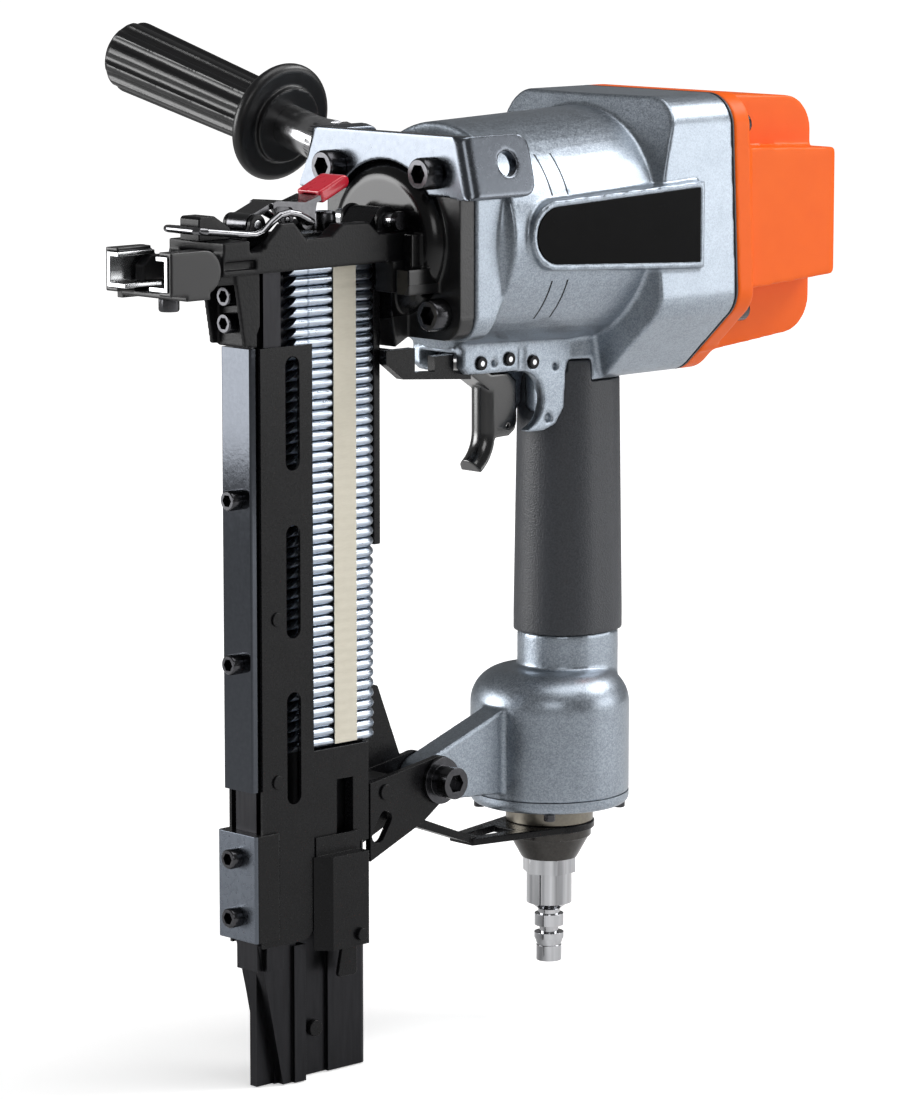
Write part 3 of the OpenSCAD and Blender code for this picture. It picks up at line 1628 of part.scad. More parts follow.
module rear_guide() {
  color([0.06, 0.06, 0.06])
    union() {
      block(-crown_x + 0.5, -crown_x + 0.5 + guide_t, -guide_half, guide_half, guide_low, drive_z - 17);
      block(-crown_x + 0.5, dome_x - 2.4, -8.8, 8.8, drive_z - 18.9, drive_z - 8);
    }
}

module staple() {
  difference() {
    union() {
      for (s = [-1, 1])
        translate([0, s * staple_half, 0])
          rod_x(wire_d / 2, leg_x0, leg_x1);
      translate([leg_x1, 0, 0])
        rotate([0, 0, -90])
          rotate_extrude(angle = 180)
            translate([staple_half, 0])
              circle(wire_d / 2);
    }
    for (s = [-1, 1])
      along_y(s * staple_half - wire_d, s * staple_half + wire_d)
        polygon([[leg_x0 - 1, s * (wire_d / 2 - 0.4)], [leg_x0, s * (wire_d / 2 - 0.4)],
          [leg_x0 + 6, -s * (wire_d / 2 + 0.2)], [leg_x0 + 6, -s * wire_d], [leg_x0 - 1, -s * wire_d]]);
  }
}

module staple_stick() {
  color([0.7, 0.71, 0.72])
    for (k = [0:staple_count - 1])
      translate([0, 0, staple_z - k * staple_pitch])
        staple();
}

module staple_tapes() {
  color([0.85, 0.8, 0.62])
    both_sides()
      block(-tape_x, -tape_x + tape_w, staple_half + wire_d / 2 + 0.05, staple_half + wire_d / 2 + 0.05 + tape_t,
        staple_low + 1, staple_z + wire_d / 2 - 5);
}

module pusher_slider() {
  y0 = bead_half + slide_gap;
  color([0.05, 0.05, 0.05])
    difference() {
      union() {
        both_sides()
          block(-plate_back + 0.6, -slider_back, y0, slider_half, slider_z0, slider_z1);
        translate([-142.5, 0, slider_z1 - 20])
          rod_y(2, -y0 - 1, y0 + 1);
      }
      block(-slider_back - 17.2, -slider_back - 8.5, -slider_half - 1, -bead_half, slider_z1 - 36.8,
        slider_z1 - 13.2);
    }
}

module spring_box() {
  x0 = -plate_back - 2;
  x1 = -box_back;
  y0 = slider_half + 0.2;
  y1 = box_reach;
  color([0.06, 0.06, 0.06])
    difference() {
      along_z(box_z0, slider_z0 + 5)
        round_outline([[x0 + 6.5, -y1], [x1, -y1], [x1, -y0], [x0, -y0]], 0.6);
      along_z(box_z0 - 1, box_z1 - box_t)
        round_outline([[x0 + 7.2, -y1 + box_t], [x1 - box_t, -y1 + box_t], [x1 - box_t, -y0 + 2],
          [x0 + 1.6, -y0 + 2]], 0.4);
      block(x0 - 1, x1 + 1, -y1 - 1, -slider_half - 1.4, box_z1, slider_z0 + 6);
      block(x0 - 1, -plate_back + 0.6, -y1 - 1, 0, box_z1, slider_z0 + 6);
      block(x0 - 1, -plate_back + 0.5, -plate_out - 0.4, 0, box_z0 - 1, slider_z0 + 6);
      translate([-133.5, 0, box_z0 + 4.5])
        rod_y(1.7, -30, 0);
    }
}

module spring_roll() {
  y = -web_half - 0.8 - roll_r;
  color([0.62, 0.62, 0.63])
    translate([0, y, (box_z0 + box_z1) / 2 + 2])
      difference() {
        rod_x(roll_r, -149.4, -145.4);
        rod_x(roll_r - 2.6, -150, -145);
      }
}

module spring_ribbon() {
  color([0.66, 0.66, 0.67])
    block(-149.4, -145.4, -web_half - 0.7, -web_half - 0.35, (box_z0 + box_z1) / 2 + 2, 40);
}

module release_tab() {
  z = box_z0 + 4.5;
  color([0.08, 0.08, 0.08])
    union() {
      along_y(-11.2, -9.4)
        difference() {
          round_outline([[-141.5, z - 17.5], [-131, z - 17.5], [-131, z + 4], [-137, z + 4]], 1.6);
          translate([-133.5, z])
            circle(1.5);
        }
      translate([-133.5, 0, z]) {
        rod_y(1.6, -box_reach - 0.4, -10.5);
        rod_y(2.6, -box_reach - 1.8, -box_reach - 0.3);
      }
    }
}

module arm_plate(y0, y1) {
  difference() {
    union() {
      along_y(y0, y1)
        polygon([[leg_x1 + 0.6, -89], [-arm_bolt_x, -arm_bolt_low + arm_end_r],
          [-arm_bolt_x, -arm_bolt_low - arm_end_r], [-92, -109], [leg_x1 + 0.6, -121]]);
      translate([-arm_bolt_x, 0, -arm_bolt_low])
        rod_y(arm_end_r, y0, y1);
    }
    along_y(y0 - 1, y1 + 1)
      strip([-117, -110.5], [-113, -104.5], 3.4);
    translate([-arm_bolt_x, 0, -arm_bolt_low])
      rod_y(arm_bolt_d / 2 + 0.2, y0 - 1, y1 + 1);
    translate([-113, 0, -93.5])
      rod_y(2.1, y0 - 1, y1 + 1);
  }
}

module arm_left() {
  color([0.06, 0.06, 0.06])
    arm_plate(-arm_out, -arm_in);
}

module arm_right() {
  color([0.06, 0.06, 0.06])
    union() {
      arm_plate(arm_in, arm_out);
      along_y(arm_in + 0.4, arm_out + 2)
        round_outline([[-107.5, -fin_high], [-103, -fin_high], [-88, -90], [-108, -90]], 1.8);
    }
}

module arm_bolt() {
  color([0.12, 0.12, 0.13])
    translate([-arm_bolt_x, 0, -arm_bolt_low])
      union() {
        rotate([90, 0, 0])
          translate([0, 0, arm_out + 2])
            socket_screw(arm_bolt_d, 2 * arm_out + 10);
        difference() {
          rod_y(9.5, -arm_out - 2, -arm_out);
          rod_y(arm_bolt_d / 2 - 0.1, -arm_out - 3, -arm_out + 1);
        }
        translate([0, arm_out, 0])
          rotate([-90, 0, 0])
            cylinder(r = 7.5, h = 6.5, $fn = 6);
      }
}

main_housing();
badges();
cap_gasket();
rear_cap();
cap_bolts();
cylinder_sleeve();
bumper();
piston();
piston_ring();
driver_blade();
head_valve();
valve_spring();
hand_grip();
end_cap();
end_cap_screws();
inlet_bush();
stay_plate();
cone_nut();
air_plug();
trigger();
trigger_pins();
valve_body();
valve_stem();
nose_base();
nose_bolts();
handle_bracket();
bracket_bolts();
side_neck();
side_grip();
nose_frame();
hinge_pin();
nose_catch();
nose_door();
door_screw();
lever_pin();
latch_lever();
lever_grip();
latch_bail();
jaw_plates();
jaw_covers();
jaw_screws();
safety_link();
magazine_rail();
left_plate();
right_plate();
plate_rivets();
front_bar();
front_screws();
clamp_bracket();
rear_guide();
staple_stick();
staple_tapes();
pusher_slider();
spring_box();
spring_roll();
spring_ribbon();
release_tab();
arm_left();
arm_right();
arm_bolt();
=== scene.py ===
# %% [markdown]
# # Dressing a fencing stapler
# The tool drives heavy wire staples into fence posts with compressed air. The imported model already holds
# every piece at its real size, in metres, so this lesson adds only what the eye sees: soft edges on the
# castings, wire staples, socket screws, and one finish for each kind of surface.

import json
import math

import bmesh
import bpy
from mathutils import Matrix, Vector

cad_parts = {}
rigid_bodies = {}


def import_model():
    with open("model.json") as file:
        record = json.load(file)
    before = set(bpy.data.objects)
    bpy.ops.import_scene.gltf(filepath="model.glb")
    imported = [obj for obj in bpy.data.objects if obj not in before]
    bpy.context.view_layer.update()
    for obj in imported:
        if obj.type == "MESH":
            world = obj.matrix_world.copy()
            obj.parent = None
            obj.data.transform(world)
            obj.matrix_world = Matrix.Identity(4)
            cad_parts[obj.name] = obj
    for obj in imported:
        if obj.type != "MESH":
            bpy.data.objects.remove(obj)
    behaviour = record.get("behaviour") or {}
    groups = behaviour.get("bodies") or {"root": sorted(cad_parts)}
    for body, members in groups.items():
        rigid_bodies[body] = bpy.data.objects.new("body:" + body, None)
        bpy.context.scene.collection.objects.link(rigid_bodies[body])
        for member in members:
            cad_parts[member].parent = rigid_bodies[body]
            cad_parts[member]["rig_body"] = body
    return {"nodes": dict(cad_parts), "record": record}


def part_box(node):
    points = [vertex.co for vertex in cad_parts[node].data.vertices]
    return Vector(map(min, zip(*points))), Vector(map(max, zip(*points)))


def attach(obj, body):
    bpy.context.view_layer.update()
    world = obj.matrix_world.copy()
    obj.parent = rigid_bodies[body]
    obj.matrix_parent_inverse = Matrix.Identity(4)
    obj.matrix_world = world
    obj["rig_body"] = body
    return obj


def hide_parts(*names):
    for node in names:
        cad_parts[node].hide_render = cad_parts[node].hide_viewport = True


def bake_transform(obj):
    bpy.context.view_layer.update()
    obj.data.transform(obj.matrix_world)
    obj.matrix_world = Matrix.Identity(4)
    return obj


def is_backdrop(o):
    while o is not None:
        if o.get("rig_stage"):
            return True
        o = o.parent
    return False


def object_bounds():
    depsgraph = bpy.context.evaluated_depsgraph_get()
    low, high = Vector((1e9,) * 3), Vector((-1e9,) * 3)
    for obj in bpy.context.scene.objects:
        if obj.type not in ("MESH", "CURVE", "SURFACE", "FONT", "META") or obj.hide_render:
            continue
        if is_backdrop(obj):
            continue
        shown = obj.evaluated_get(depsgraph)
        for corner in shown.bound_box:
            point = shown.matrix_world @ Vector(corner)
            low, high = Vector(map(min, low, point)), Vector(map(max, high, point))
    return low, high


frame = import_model()
CAD_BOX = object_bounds()
MM = 0.001
NODES = frame["nodes"]
SLOT_OF = {part["node"]: part["material_slot"] for part in frame["record"]["subparts"]}
print("nodes:", len(NODES), "size in mm:", [round(side / MM, 1) for side in CAD_BOX[1] - CAD_BOX[0]])

# %% [markdown]
# ## The camera
# A long lens two metres away keeps the barrel's sides almost parallel, as a catalogue picture does. The
# camera is placed from four readings of the picture: its heading, its height, the distance, and where the
# centre of the hand grip falls in the frame. No shift is needed, so other views stay in the frame too.

# %% Camera
IMAGE_W, IMAGE_H = 900, 1100
FOCAL_PX = 4800
SENSOR = 36.0
HEADING = math.radians(44)
HEIGHT_ANGLE = math.radians(9)
DISTANCE = 2.0
GRIP_PX = (568, 530)


def place_camera():
    """Stand the camera so that the frame's origin falls on its pixel."""
    ahead = Vector((math.sin(HEADING), math.cos(HEADING), -math.tan(HEIGHT_ANGLE))).normalized()
    right = Vector((math.cos(HEADING), -math.sin(HEADING), 0))
    up = right.cross(ahead)
    aside = (GRIP_PX[0] - IMAGE_W / 2) / FOCAL_PX * DISTANCE
    above = (IMAGE_H / 2 - GRIP_PX[1]) / FOCAL_PX * DISTANCE
    data = bpy.data.cameras.new("camera")
    data.lens = FOCAL_PX / max(IMAGE_W, IMAGE_H) * SENSOR
    data.sensor_width = SENSOR
    camera = bpy.data.objects.new("camera", data)
    camera.matrix_world = Matrix((right, up, -ahead)).transposed().to_4x4()
    camera.location = -(ahead * DISTANCE + right * aside + up * above)
    bpy.context.scene.collection.objects.link(camera)
    bpy.context.scene.camera = camera
    return camera


print("lens in mm:", round(place_camera().data.lens, 1))

# %% [markdown]
# ## Node trees written as sums
# A finish is a small calculation: so much grain, a little more here than there. Linking Math nodes by
# hand hides that, so one class wraps a socket and lets plus, minus and times add the nodes. A second class
# holds a tree and adds any other node. Both serve shader trees and geometry trees alike.

# %% Sockets with arithmetic


class Wire:
    """An output socket. Arithmetic on it adds Math nodes to its tree."""

    def __init__(self, tree, socket):
        self.tree = tree
        self.socket = socket

    def maths(self, operation, *inputs):
        """Add a Math node and return its result."""
        return self.tree.add("ShaderNodeMath", {"operation": operation}, dict(enumerate(inputs)))

    def __add__(self, other):
        return self.maths("ADD", self, other)

    def __radd__(self, other):
        return self.maths("ADD", other, self)

    def __sub__(self, other):
        return self.maths("SUBTRACT", self, other)

    def __rsub__(self, other):
        return self.maths("SUBTRACT", other, self)

    def __mul__(self, other):
        return self.maths("MULTIPLY", self, other)

    def __truediv__(self, other):
        return self.maths("DIVIDE", self, other)

    def __lt__(self, other):
        return self.maths("LESS_THAN", self, other)

    def __gt__(self, other):
        return self.maths("GREATER_THAN", self, other)

    def __abs__(self):
        return self.maths("ABSOLUTE", self)


class Tree:
    """A node tree with one method that adds a node."""

    def __init__(self, tree):
        self.tree = tree

    def add(self, kind, settings=None, sockets=None, output=0):
        """Add a node, set or link its inputs, and return one of its outputs."""
        node = self.tree.nodes.new(kind)
        for name, value in (settings or {}).items():
            setattr(node, name, value)
        for key, value in (sockets or {}).items():
            if isinstance(value, Wire):
                self.tree.links.new(value.socket, node.inputs[key])
            else:
                node.inputs[key].default_value = value
        return Wire(self, node.outputs[output] if node.outputs else None)


# %% [markdown]
# ## Finishes
# Every finish is one Principled shader. What is the same all over is set on the shader itself, and what
# changes over the surface, such as grain, flakes and brush marks, is a pattern in the object's own
# coordinates, given as a size in millimetres. So the grain of a casting has its real scale on every piece.

# %% A finish and its patterns


class Finish(Tree):
    """A material made of one Principled shader and patterns of a real size."""

    def __init__(self, name, fixed=None):
        self.material = bpy.data.materials.new(name)
        self.material.use_nodes = True
        super().__init__(self.material.node_tree)
        self.shader = self.tree.nodes["Principled BSDF"]
        for label, value in (fixed or {}).items():
            self.shader.inputs[label].default_value = value
        self.place = self.add("ShaderNodeTexCoord", output="Object")

    def axis(self, label):
        """One coordinate of the surface point, in metres."""
        return self.add("ShaderNodeSeparateXYZ", None, {0: self.place}, label)

    def feed(self, label, wire):
        """Drive one input of the shader."""
        self.tree.links.new(wire.socket, self.shader.inputs[label])

    def stretched(self, stretch):
        """The surface point with its axes scaled: a small factor draws marks out along that axis."""
        if stretch == (1, 1, 1):
            return self.place
        return self.add("ShaderNodeVectorMath", {"operation": "MULTIPLY"}, {0: self.place, 1: stretch})

    def noise(self, size, detail=2.0, stretch=(1, 1, 1)):
        """Cloudy values round one half, with lumps of a size in millimetres."""
        return self.add("ShaderNodeTexNoise", None,
                        {"Vector": self.stretched(stretch), "Scale": 1 / (size * MM), "Detail": detail})

    def flakes(self, size):
        """A random value for each cell of a size in millimetres."""
        cells = self.add("ShaderNodeTexVoronoi", None,
                         {"Vector": self.place, "Scale": 1 / (size * MM)}, "Color")
        return self.add("ShaderNodeSeparateColor", None, {0: cells})

    def between(self, mask, low, high):
        """A colour between two others, by a mask from 0 to 1."""
        ends = [end if isinstance(end, Wire) else (*end, 1) for end in (low, high)]
        return self.add("ShaderNodeMix", {"data_type": "RGBA"}, {0: mask, 6: ends[0], 7: ends[1]}, 2)

    def shades(self, mask, low, high):
        """Colour the surface between two shades."""
        self.feed("Base Color", self.between(mask, low, high))

    def roughness(self, mask, low, high):
        """Let the roughness run between two values."""
        self.feed("Roughness", mask * (high - low) + low)

    def relief(self, height, depth, strength=1.0):
        """Bumps of a depth in millimetres."""
        bump = self.add("ShaderNodeBump", None,
                        {"Height": height, "Distance": depth * MM, "Strength": strength})
        self.feed("Normal", bump)


# %% Cast, moulded and painted finishes
DULL = {"Specular IOR Level": 0.18}
NEAR_BLACK = (0.003, 0.003, 0.0035), (0.007, 0.007, 0.008)
COAL_BLACK = (0.003, 0.003, 0.0035), (0.01, 0.01, 0.011)
DRIVE_Z = 128 * MM
GROOVES = (-53.35 * MM, -44.75 * MM)
GROOVE_HALF = 0.45 * MM
GROOVE_LOW, GROOVE_HIGH = 17 * MM, 33 * MM
BARREL_SIDE = 30 * MM


def silver_paint():
    """Silver paint with flakes on a cast surface. The two fine grooves turned into the barrel are not in the
    shape: they are drawn as thin lines of painted shade.
    """
    finish = Finish("silver_paint", {"Metallic": 0.9})
    flake = finish.flakes(0.5)
    cloud = finish.noise(9)
    x, height = finish.axis("X"), abs(finish.axis("Z") - DRIVE_Z)
    groove_shade_lines = (abs(x - GROOVES[0]) < GROOVE_HALF) + (abs(x - GROOVES[1]) < GROOVE_HALF)
    side = abs(finish.axis("Y")) > BARREL_SIDE
    groove_shade = groove_shade_lines * (height > GROOVE_LOW) * (height < GROOVE_HIGH) * side
    paint = finish.between(flake * 0.7 + cloud * 0.3, (0.19, 0.218, 0.252), (0.39, 0.436, 0.492))
    # Painted shade: inside the two grooves the paint turns near-black.
    finish.shades(groove_shade, paint, (0.02, 0.022, 0.025))
    finish.roughness(flake, 0.3, 0.42)
    finish.relief(finish.noise(0.6, 3), 0.06, 0.35)
    return finish.material


def orange_plastic():
    """Satin orange moulding with a fine spark-eroded grain."""
    finish = Finish("orange_plastic", DULL)
    cloud = finish.noise(14)
    finish.shades(cloud, (0.78, 0.104, 0.002), (0.84, 0.124, 0.003))
    finish.roughness(finish.noise(0.8), 0.36, 0.5)
    finish.relief(finish.noise(0.5), 0.05, 0.35)
    return finish.material


def textured_black():
    """Black powder coat on a casting."""
    finish = Finish("textured_black", DULL)
    grain = finish.noise(0.9, 3)
    finish.shades(grain, *COAL_BLACK)
    finish.roughness(grain, 0.24, 0.44)
    finish.relief(grain, 0.14, 0.5)
    return finish.material


def polished_dome(radius):
    """The same black casting, polished within a radius of the drive axis."""
    finish = Finish("polished_dome")
    grain = finish.noise(0.9, 3)
    flat = finish.add("ShaderNodeCombineXYZ", None, {"Y": finish.axis("Y"), "Z": finish.axis("Z")})
    reach = finish.add("ShaderNodeVectorMath", {"operation": "DISTANCE"},
                       {0: flat, 1: (0, 0, DRIVE_Z)}, "Value")
    dome = reach < radius
    finish.shades(grain * (1 - dome), (0.004, 0.004, 0.0045), (0.01, 0.01, 0.011))
    finish.feed("Metallic", dome * 0.25)
    finish.roughness(grain * (1 - dome), 0.2, 0.46)
    finish.relief(grain * (1 - dome), 0.14, 0.5)
    return finish.material


def black_paint(name, low, high):
    """Black paint on pressed sheet, from a low to a high roughness."""
    finish = Finish(name, DULL)
    cloud = finish.noise(7)
    finish.shades(cloud, *NEAR_BLACK)
    finish.roughness(finish.noise(2.5), low, high)
    finish.relief(finish.noise(1.8), 0.02, 0.3)
    return finish.material


def grained_rubber():
    """Dark blue-grey rubber with a fine leathery grain."""
    finish = Finish("grained_rubber")
    grain = finish.noise(0.75, 3)
    finish.shades(grain, (0.006, 0.007, 0.009), (0.05, 0.055, 0.066))
    finish.roughness(grain, 0.36, 0.56)
    finish.relief(grain, 0.3, 0.7)
    return finish.material


def moulded_black(name, low, high, coat=0.0):
    """Black nylon, from a low to a high roughness, with or without a coat of lacquer."""
    finish = Finish(name, {"Coat Weight": coat, "Coat Roughness": 0.22})
    grain = finish.noise(0.6)
    finish.shades(finish.noise(9), *NEAR_BLACK)
    finish.roughness(grain, low, high)
    finish.relief(grain, 0.03, 0.3)
    return finish.material


def red_vinyl():
    """Glossy red dipped vinyl."""
    finish = Finish("red_vinyl", {"Coat Weight": 0.4})
    cloud = finish.noise(3)
    finish.shades(cloud, (0.52, 0.004, 0.02), (0.64, 0.01, 0.035))
    finish.roughness(cloud, 0.22, 0.36)
    finish.relief(finish.noise(1.5), 0.04, 0.4)
    return finish.material


def badge_film():
    """Bare black badge film."""
    finish = Finish("badge_film", {"Specular IOR Level": 0.03})
    cloud = finish.noise(20)
    finish.shades(cloud, (0.002, 0.002, 0.002), (0.004, 0.004, 0.0045))
    finish.roughness(finish.noise(4), 0.2, 0.3)
    return finish.material


def tape_paper():
    """Cream paper tape with fibres."""
    finish = Finish("tape_paper", DULL)
    fibre = finish.noise(1.2, 4, (0.35, 1, 1.6))
    blotch = finish.noise(12)
    finish.shades(fibre * 0.6 + blotch * 0.4, (0.62, 0.58, 0.48), (0.78, 0.74, 0.63))
    finish.roughness(fibre, 0.7, 0.9)
    finish.relief(fibre, 0.05, 0.5)
    return finish.material


# %% Bare and plated metals
SHADE_LINE_X = -152.8 * MM
SHADE_LINE_HALF = 0.6 * MM
HIGHLIGHT_R = 1.1 * MM


def metal(name, dark, light, low, high, streak_stretch=(1, 1, 1), size=1.5):
    """Metal between two shades and two roughnesses, with streaks of a size drawn out along an axis: tool
    marks on most metals, painted reflections on the chrome.
    """
    finish = Finish(name, {"Metallic": 1.0})
    streaks = finish.noise(size, 3, streak_stretch)
    finish.shades(streaks, dark, light)
    finish.roughness(finish.noise(size * 2, 2, streak_stretch), low, high)
    finish.relief(streaks, 0.015, 0.4)
    return finish.material


def zinc_wire():
    """Bluish zinc on drawn wire, with a thin line of painted shade where a groove crosses the legs."""
    finish = Finish("zinc_wire", {"Metallic": 1.0})
    streaks = finish.noise(1.0, 3, (0.15, 1, 1))
    line = abs(finish.axis("X") - SHADE_LINE_X) < SHADE_LINE_HALF
    # Painted shade: along the line across the legs the zinc takes its darkest shade.
    finish.shades(streaks * (1 - line), (0.25, 0.285, 0.34), (0.6, 0.66, 0.74))
    finish.roughness(streaks, 0.2, 0.38)
    finish.relief(streaks, 0.015, 0.4)
    return finish.material


def pin_heads(centres):
    """Black pins with a painted highlight: a bright metal spot in the middle of each end."""
    finish = Finish("pin_heads", {"Metallic": 1.0})
    flat = finish.add("ShaderNodeCombineXYZ", None, {"X": finish.axis("X"), "Z": finish.axis("Z")})
    painted_highlight = 0.0
    for centre in centres:
        reach = finish.add("ShaderNodeVectorMath", {"operation": "DISTANCE"},
                           {0: flat, 1: (centre.x, 0, centre.z)}, "Value")
        painted_highlight = painted_highlight + (reach < HIGHLIGHT_R)
    # Painted highlight: each pin end gets a bright spot of a small radius in its base colour.
    finish.shades(painted_highlight, (0.015, 0.015, 0.016), (0.6, 0.6, 0.62))
    finish.roughness(finish.noise(2), 0.22, 0.36)
    return finish.material


def bare_front(edge_x):
    """Black paint, with blued steel in front of an edge along X."""
    finish = Finish("bare_front", DULL)
    front = finish.axis("X") < edge_x
    finish.shades(front, (0.005, 0.005, 0.0055), (0.13, 0.145, 0.17))
    finish.feed("Metallic", front)
    finish.roughness(finish.noise(2.5), 0.22, 0.34)
    return finish.material


def black_headed(edge_y):
    """Steel whose near end, below an edge along Y, is blackened."""
    finish = Finish("black_headed", {"Metallic": 1.0})
    head = finish.axis("Y") < edge_y
    finish.shades(head, (0.55, 0.56, 0.58), (0.02, 0.02, 0.022))
    finish.roughness(finish.noise(2), 0.2, 0.32)
    return finish.material


# %% All finishes
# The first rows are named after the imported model's material slots, the last four after single pieces that
# look different from the rest of their slot.
FINISH = {
    "silver_cast": silver_paint(),
    "orange_cap": orange_plastic(),
    "black_cast": textured_black(),
    "black_sheet": black_paint("satin_black", 0.2, 0.34),
    "bracket_steel": metal("bracket_steel", (0.108, 0.119, 0.136), (0.148, 0.162, 0.184), 0.2, 0.32),
    "dark_bolts": metal("black_oxide", (0.045, 0.045, 0.049), (0.09, 0.09, 0.096), 0.18, 0.3),
    "steel": metal("bright_steel", (0.5, 0.51, 0.53), (0.66, 0.67, 0.68), 0.16, 0.3, (0.2, 1, 1)),
    "neck_steel": metal("neck_steel", (0.4, 0.4, 0.41), (0.55, 0.55, 0.56), 0.12, 0.22),
    "zinc_wire": zinc_wire(),
    "inner_alu": metal("turned_alloy", (0.6, 0.6, 0.61), (0.74, 0.74, 0.75), 0.2, 0.32),
    "rail_alu": metal("anodised_rail", (0.02, 0.02, 0.022), (0.035, 0.035, 0.038), 0.28, 0.42, (1, 1, 0.1)),
    "rubber": grained_rubber(),
    "black_plastic": moulded_black("moulded_black", 0.28, 0.42),
    "red_vinyl": red_vinyl(),
    "badge_black": badge_film(),
    "brass": metal("dull_brass", (0.15, 0.138, 0.118), (0.25, 0.23, 0.19), 0.24, 0.38),
    "black_nut": metal("black_nut", (0.04, 0.038, 0.036), (0.08, 0.076, 0.072), 0.16, 0.28),
    # Painted reflections: the chrome's streaks along Z, from near-black to bright, stand in for a dark and
    # light surround.
    "chrome": metal("chrome", (0.02, 0.021, 0.024), (0.9, 0.91, 0.94), 0.03, 0.08, (1, 1, 0.03), 4),
    "paper": tape_paper(),
    "front_chrome": metal("black_chrome", (0.055, 0.06, 0.069), (0.075, 0.081, 0.093), 0.05, 0.11),
    "trigger_gloss": moulded_black("glossy_black", 0.1, 0.18, coat=1.0),
    "bail_wire": metal("dark_wire", (0.16, 0.16, 0.17), (0.26, 0.26, 0.27), 0.12, 0.22),
    "lever_steel": metal("dark_lever", (0.06, 0.06, 0.064), (0.12, 0.12, 0.126), 0.18, 0.3),
}
print("finishes:", len(FINISH))

# %% [markdown]
# ## Soft edges
# Real edges are never sharp: a pressed plate has a small radius, and a casting has fillets of a millimetre
# or two. For plates and turned pieces a bevel on a copy of the node is enough. On castings many faces meet
# in a small space, so there a fine skin of voxels is smoothed, which gives fillets wherever faces meet.

# %% Helpers that stand a copy in a node's place
MERGE_GAP = 0.002 * MM
FLAT_ANGLE = math.radians(0.5)
EDGE_ANGLE = math.radians(32)


def merged(node):
    """A new object with a node's mesh, its triangles joined and its flat faces made whole."""
    work = bmesh.new()
    work.from_mesh(NODES[node].data)
    bmesh.ops.remove_doubles(work, verts=work.verts, dist=MERGE_GAP)
    bmesh.ops.dissolve_limit(work, angle_limit=FLAT_ANGLE, verts=work.verts, edges=work.edges)
    mesh = bpy.data.meshes.new(node + "_dressed")
    work.to_mesh(mesh)
    work.free()
    mesh.shade_smooth()
    piece = bpy.data.objects.new(mesh.name, mesh)
    bpy.context.scene.collection.objects.link(piece)
    return piece


def apply_modifiers(piece):
    """Turn a piece's modifiers into plain mesh."""
    graph = bpy.context.evaluated_depsgraph_get()
    mesh = bpy.data.meshes.new_from_object(piece.evaluated_get(graph))
    piece.modifiers.clear()
    piece.data = mesh


def modify(piece, kind, **settings):
    """Run one modifier on a piece and keep the result as plain mesh."""
    modifier = piece.modifiers.new(kind.lower(), kind)
    for name, value in settings.items():
        setattr(modifier, name, value)
    apply_modifiers(piece)


def mark(piece, group, chosen):
    """Put the vertices at chosen points into a vertex group."""
    marked = [vert.index for vert in piece.data.vertices if chosen(vert.co)]
    piece.vertex_groups.new(name=group).add(marked, 1.0, "REPLACE")


def settle(piece, node, finish=None, sharp=EDGE_ANGLE, spans=None):
    """Give a piece its finish and let it stand for a node. What spans two bodies, such as a spring, stays
    where it stands and joins neither body; the bodies and points in spans are not used."""
    mesh = piece.data
    mesh.materials.clear()
    mesh.materials.append(finish or FINISH[SLOT_OF[node]])
    if sharp:
        mesh.shade_smooth()
        mesh.set_sharp_from_angle(angle=sharp)
    if spans:
        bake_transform(piece)
    else:
        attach(piece, NODES[node]["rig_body"])
    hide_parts(node)
    return piece


# %% Two ways to soften edges
MOST_TRIANGLES = 120000
FRONT_DEPTH = 0.1 * MM
OUTER_SHARE = 0.6
UPRIGHT_SHARE = 0.9


def dress(node, edge, finish=None):
    """A copy with rounded edges of a width in millimetres, whose flat faces keep flat shading."""
    piece = merged(node)
    modify(piece, "BEVEL", width=edge * MM, segments=2, limit_method="ANGLE", angle_limit=EDGE_ANGLE)
    modify(piece, "WEIGHTED_NORMAL", weight=100)
    return settle(piece, node, finish, sharp=None)


def widen_bends(piece, node, radius):
    """Round the outer upright edges of a front face, where strip was bent, by a radius in millimetres."""
    low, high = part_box(node)
    front, side = low.x + FRONT_DEPTH, OUTER_SHARE * high.y
    weight = piece.data.attributes.new("bevel_weight_edge", "FLOAT", "EDGE")
    for line in piece.data.edges:
        ends = [piece.data.vertices[k].co for k in line.vertices]
        upright = abs(ends[1].z - ends[0].z) > UPRIGHT_SHARE * (ends[1] - ends[0]).length
        outside = all(end.x < front and abs(end.y) > side for end in ends)
        weight.data[line.index].value = float(upright and outside)
    modify(piece, "BEVEL", limit_method="WEIGHT", use_clamp_overlap=False, width=radius * MM, segments=8)


def within(point, low, high):
    """Whether a point lies in a box."""
    return all(low[axis] < point[axis] < high[axis] for axis in range(3))


def cast(node, voxel, rounds, finish=None, still=None, bend=None):
    """A copy with fillets: a skin of voxels, smoothed for some rounds and thinned. In the box called still,
    where another piece runs close by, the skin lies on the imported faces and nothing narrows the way."""
    piece = merged(node)
    if bend:
        widen_bends(piece, node, bend)
    modify(piece, "REMESH", mode="VOXEL", voxel_size=voxel * MM)
    mark(piece, "soft", lambda point: not (still and within(point, *still)))
    modify(piece, "SMOOTH", vertex_group="soft", factor=0.5, iterations=rounds)
    piece.vertex_groups.clear()
    triangles = 2 * len(piece.data.polygons)
    if triangles > MOST_TRIANGLES:
        modify(piece, "DECIMATE", ratio=MOST_TRIANGLES / triangles)
    if still:
        mark(piece, "held", lambda point: within(point, *still))
        modify(piece, "SHRINKWRAP", target=NODES[node], vertex_group="held")
        piece.vertex_groups.clear()
    return settle(piece, node, finish)


# %% [markdown]
# ## Castings and mouldings
# The silver housing, the orange cap, the black nose and the plastic handles are cast or moulded, so their
# edges are soft and their faces run into each other. The bracket of the side handle gets the same skin. It
# is thick strip that was bent cold, so first the outside of its two bends gets a wide radius. Two castings
# hold something that slides: the cap has the head valve in its bore, and the housing has the safety link
# beside it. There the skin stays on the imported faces, in a box with room for the travel.

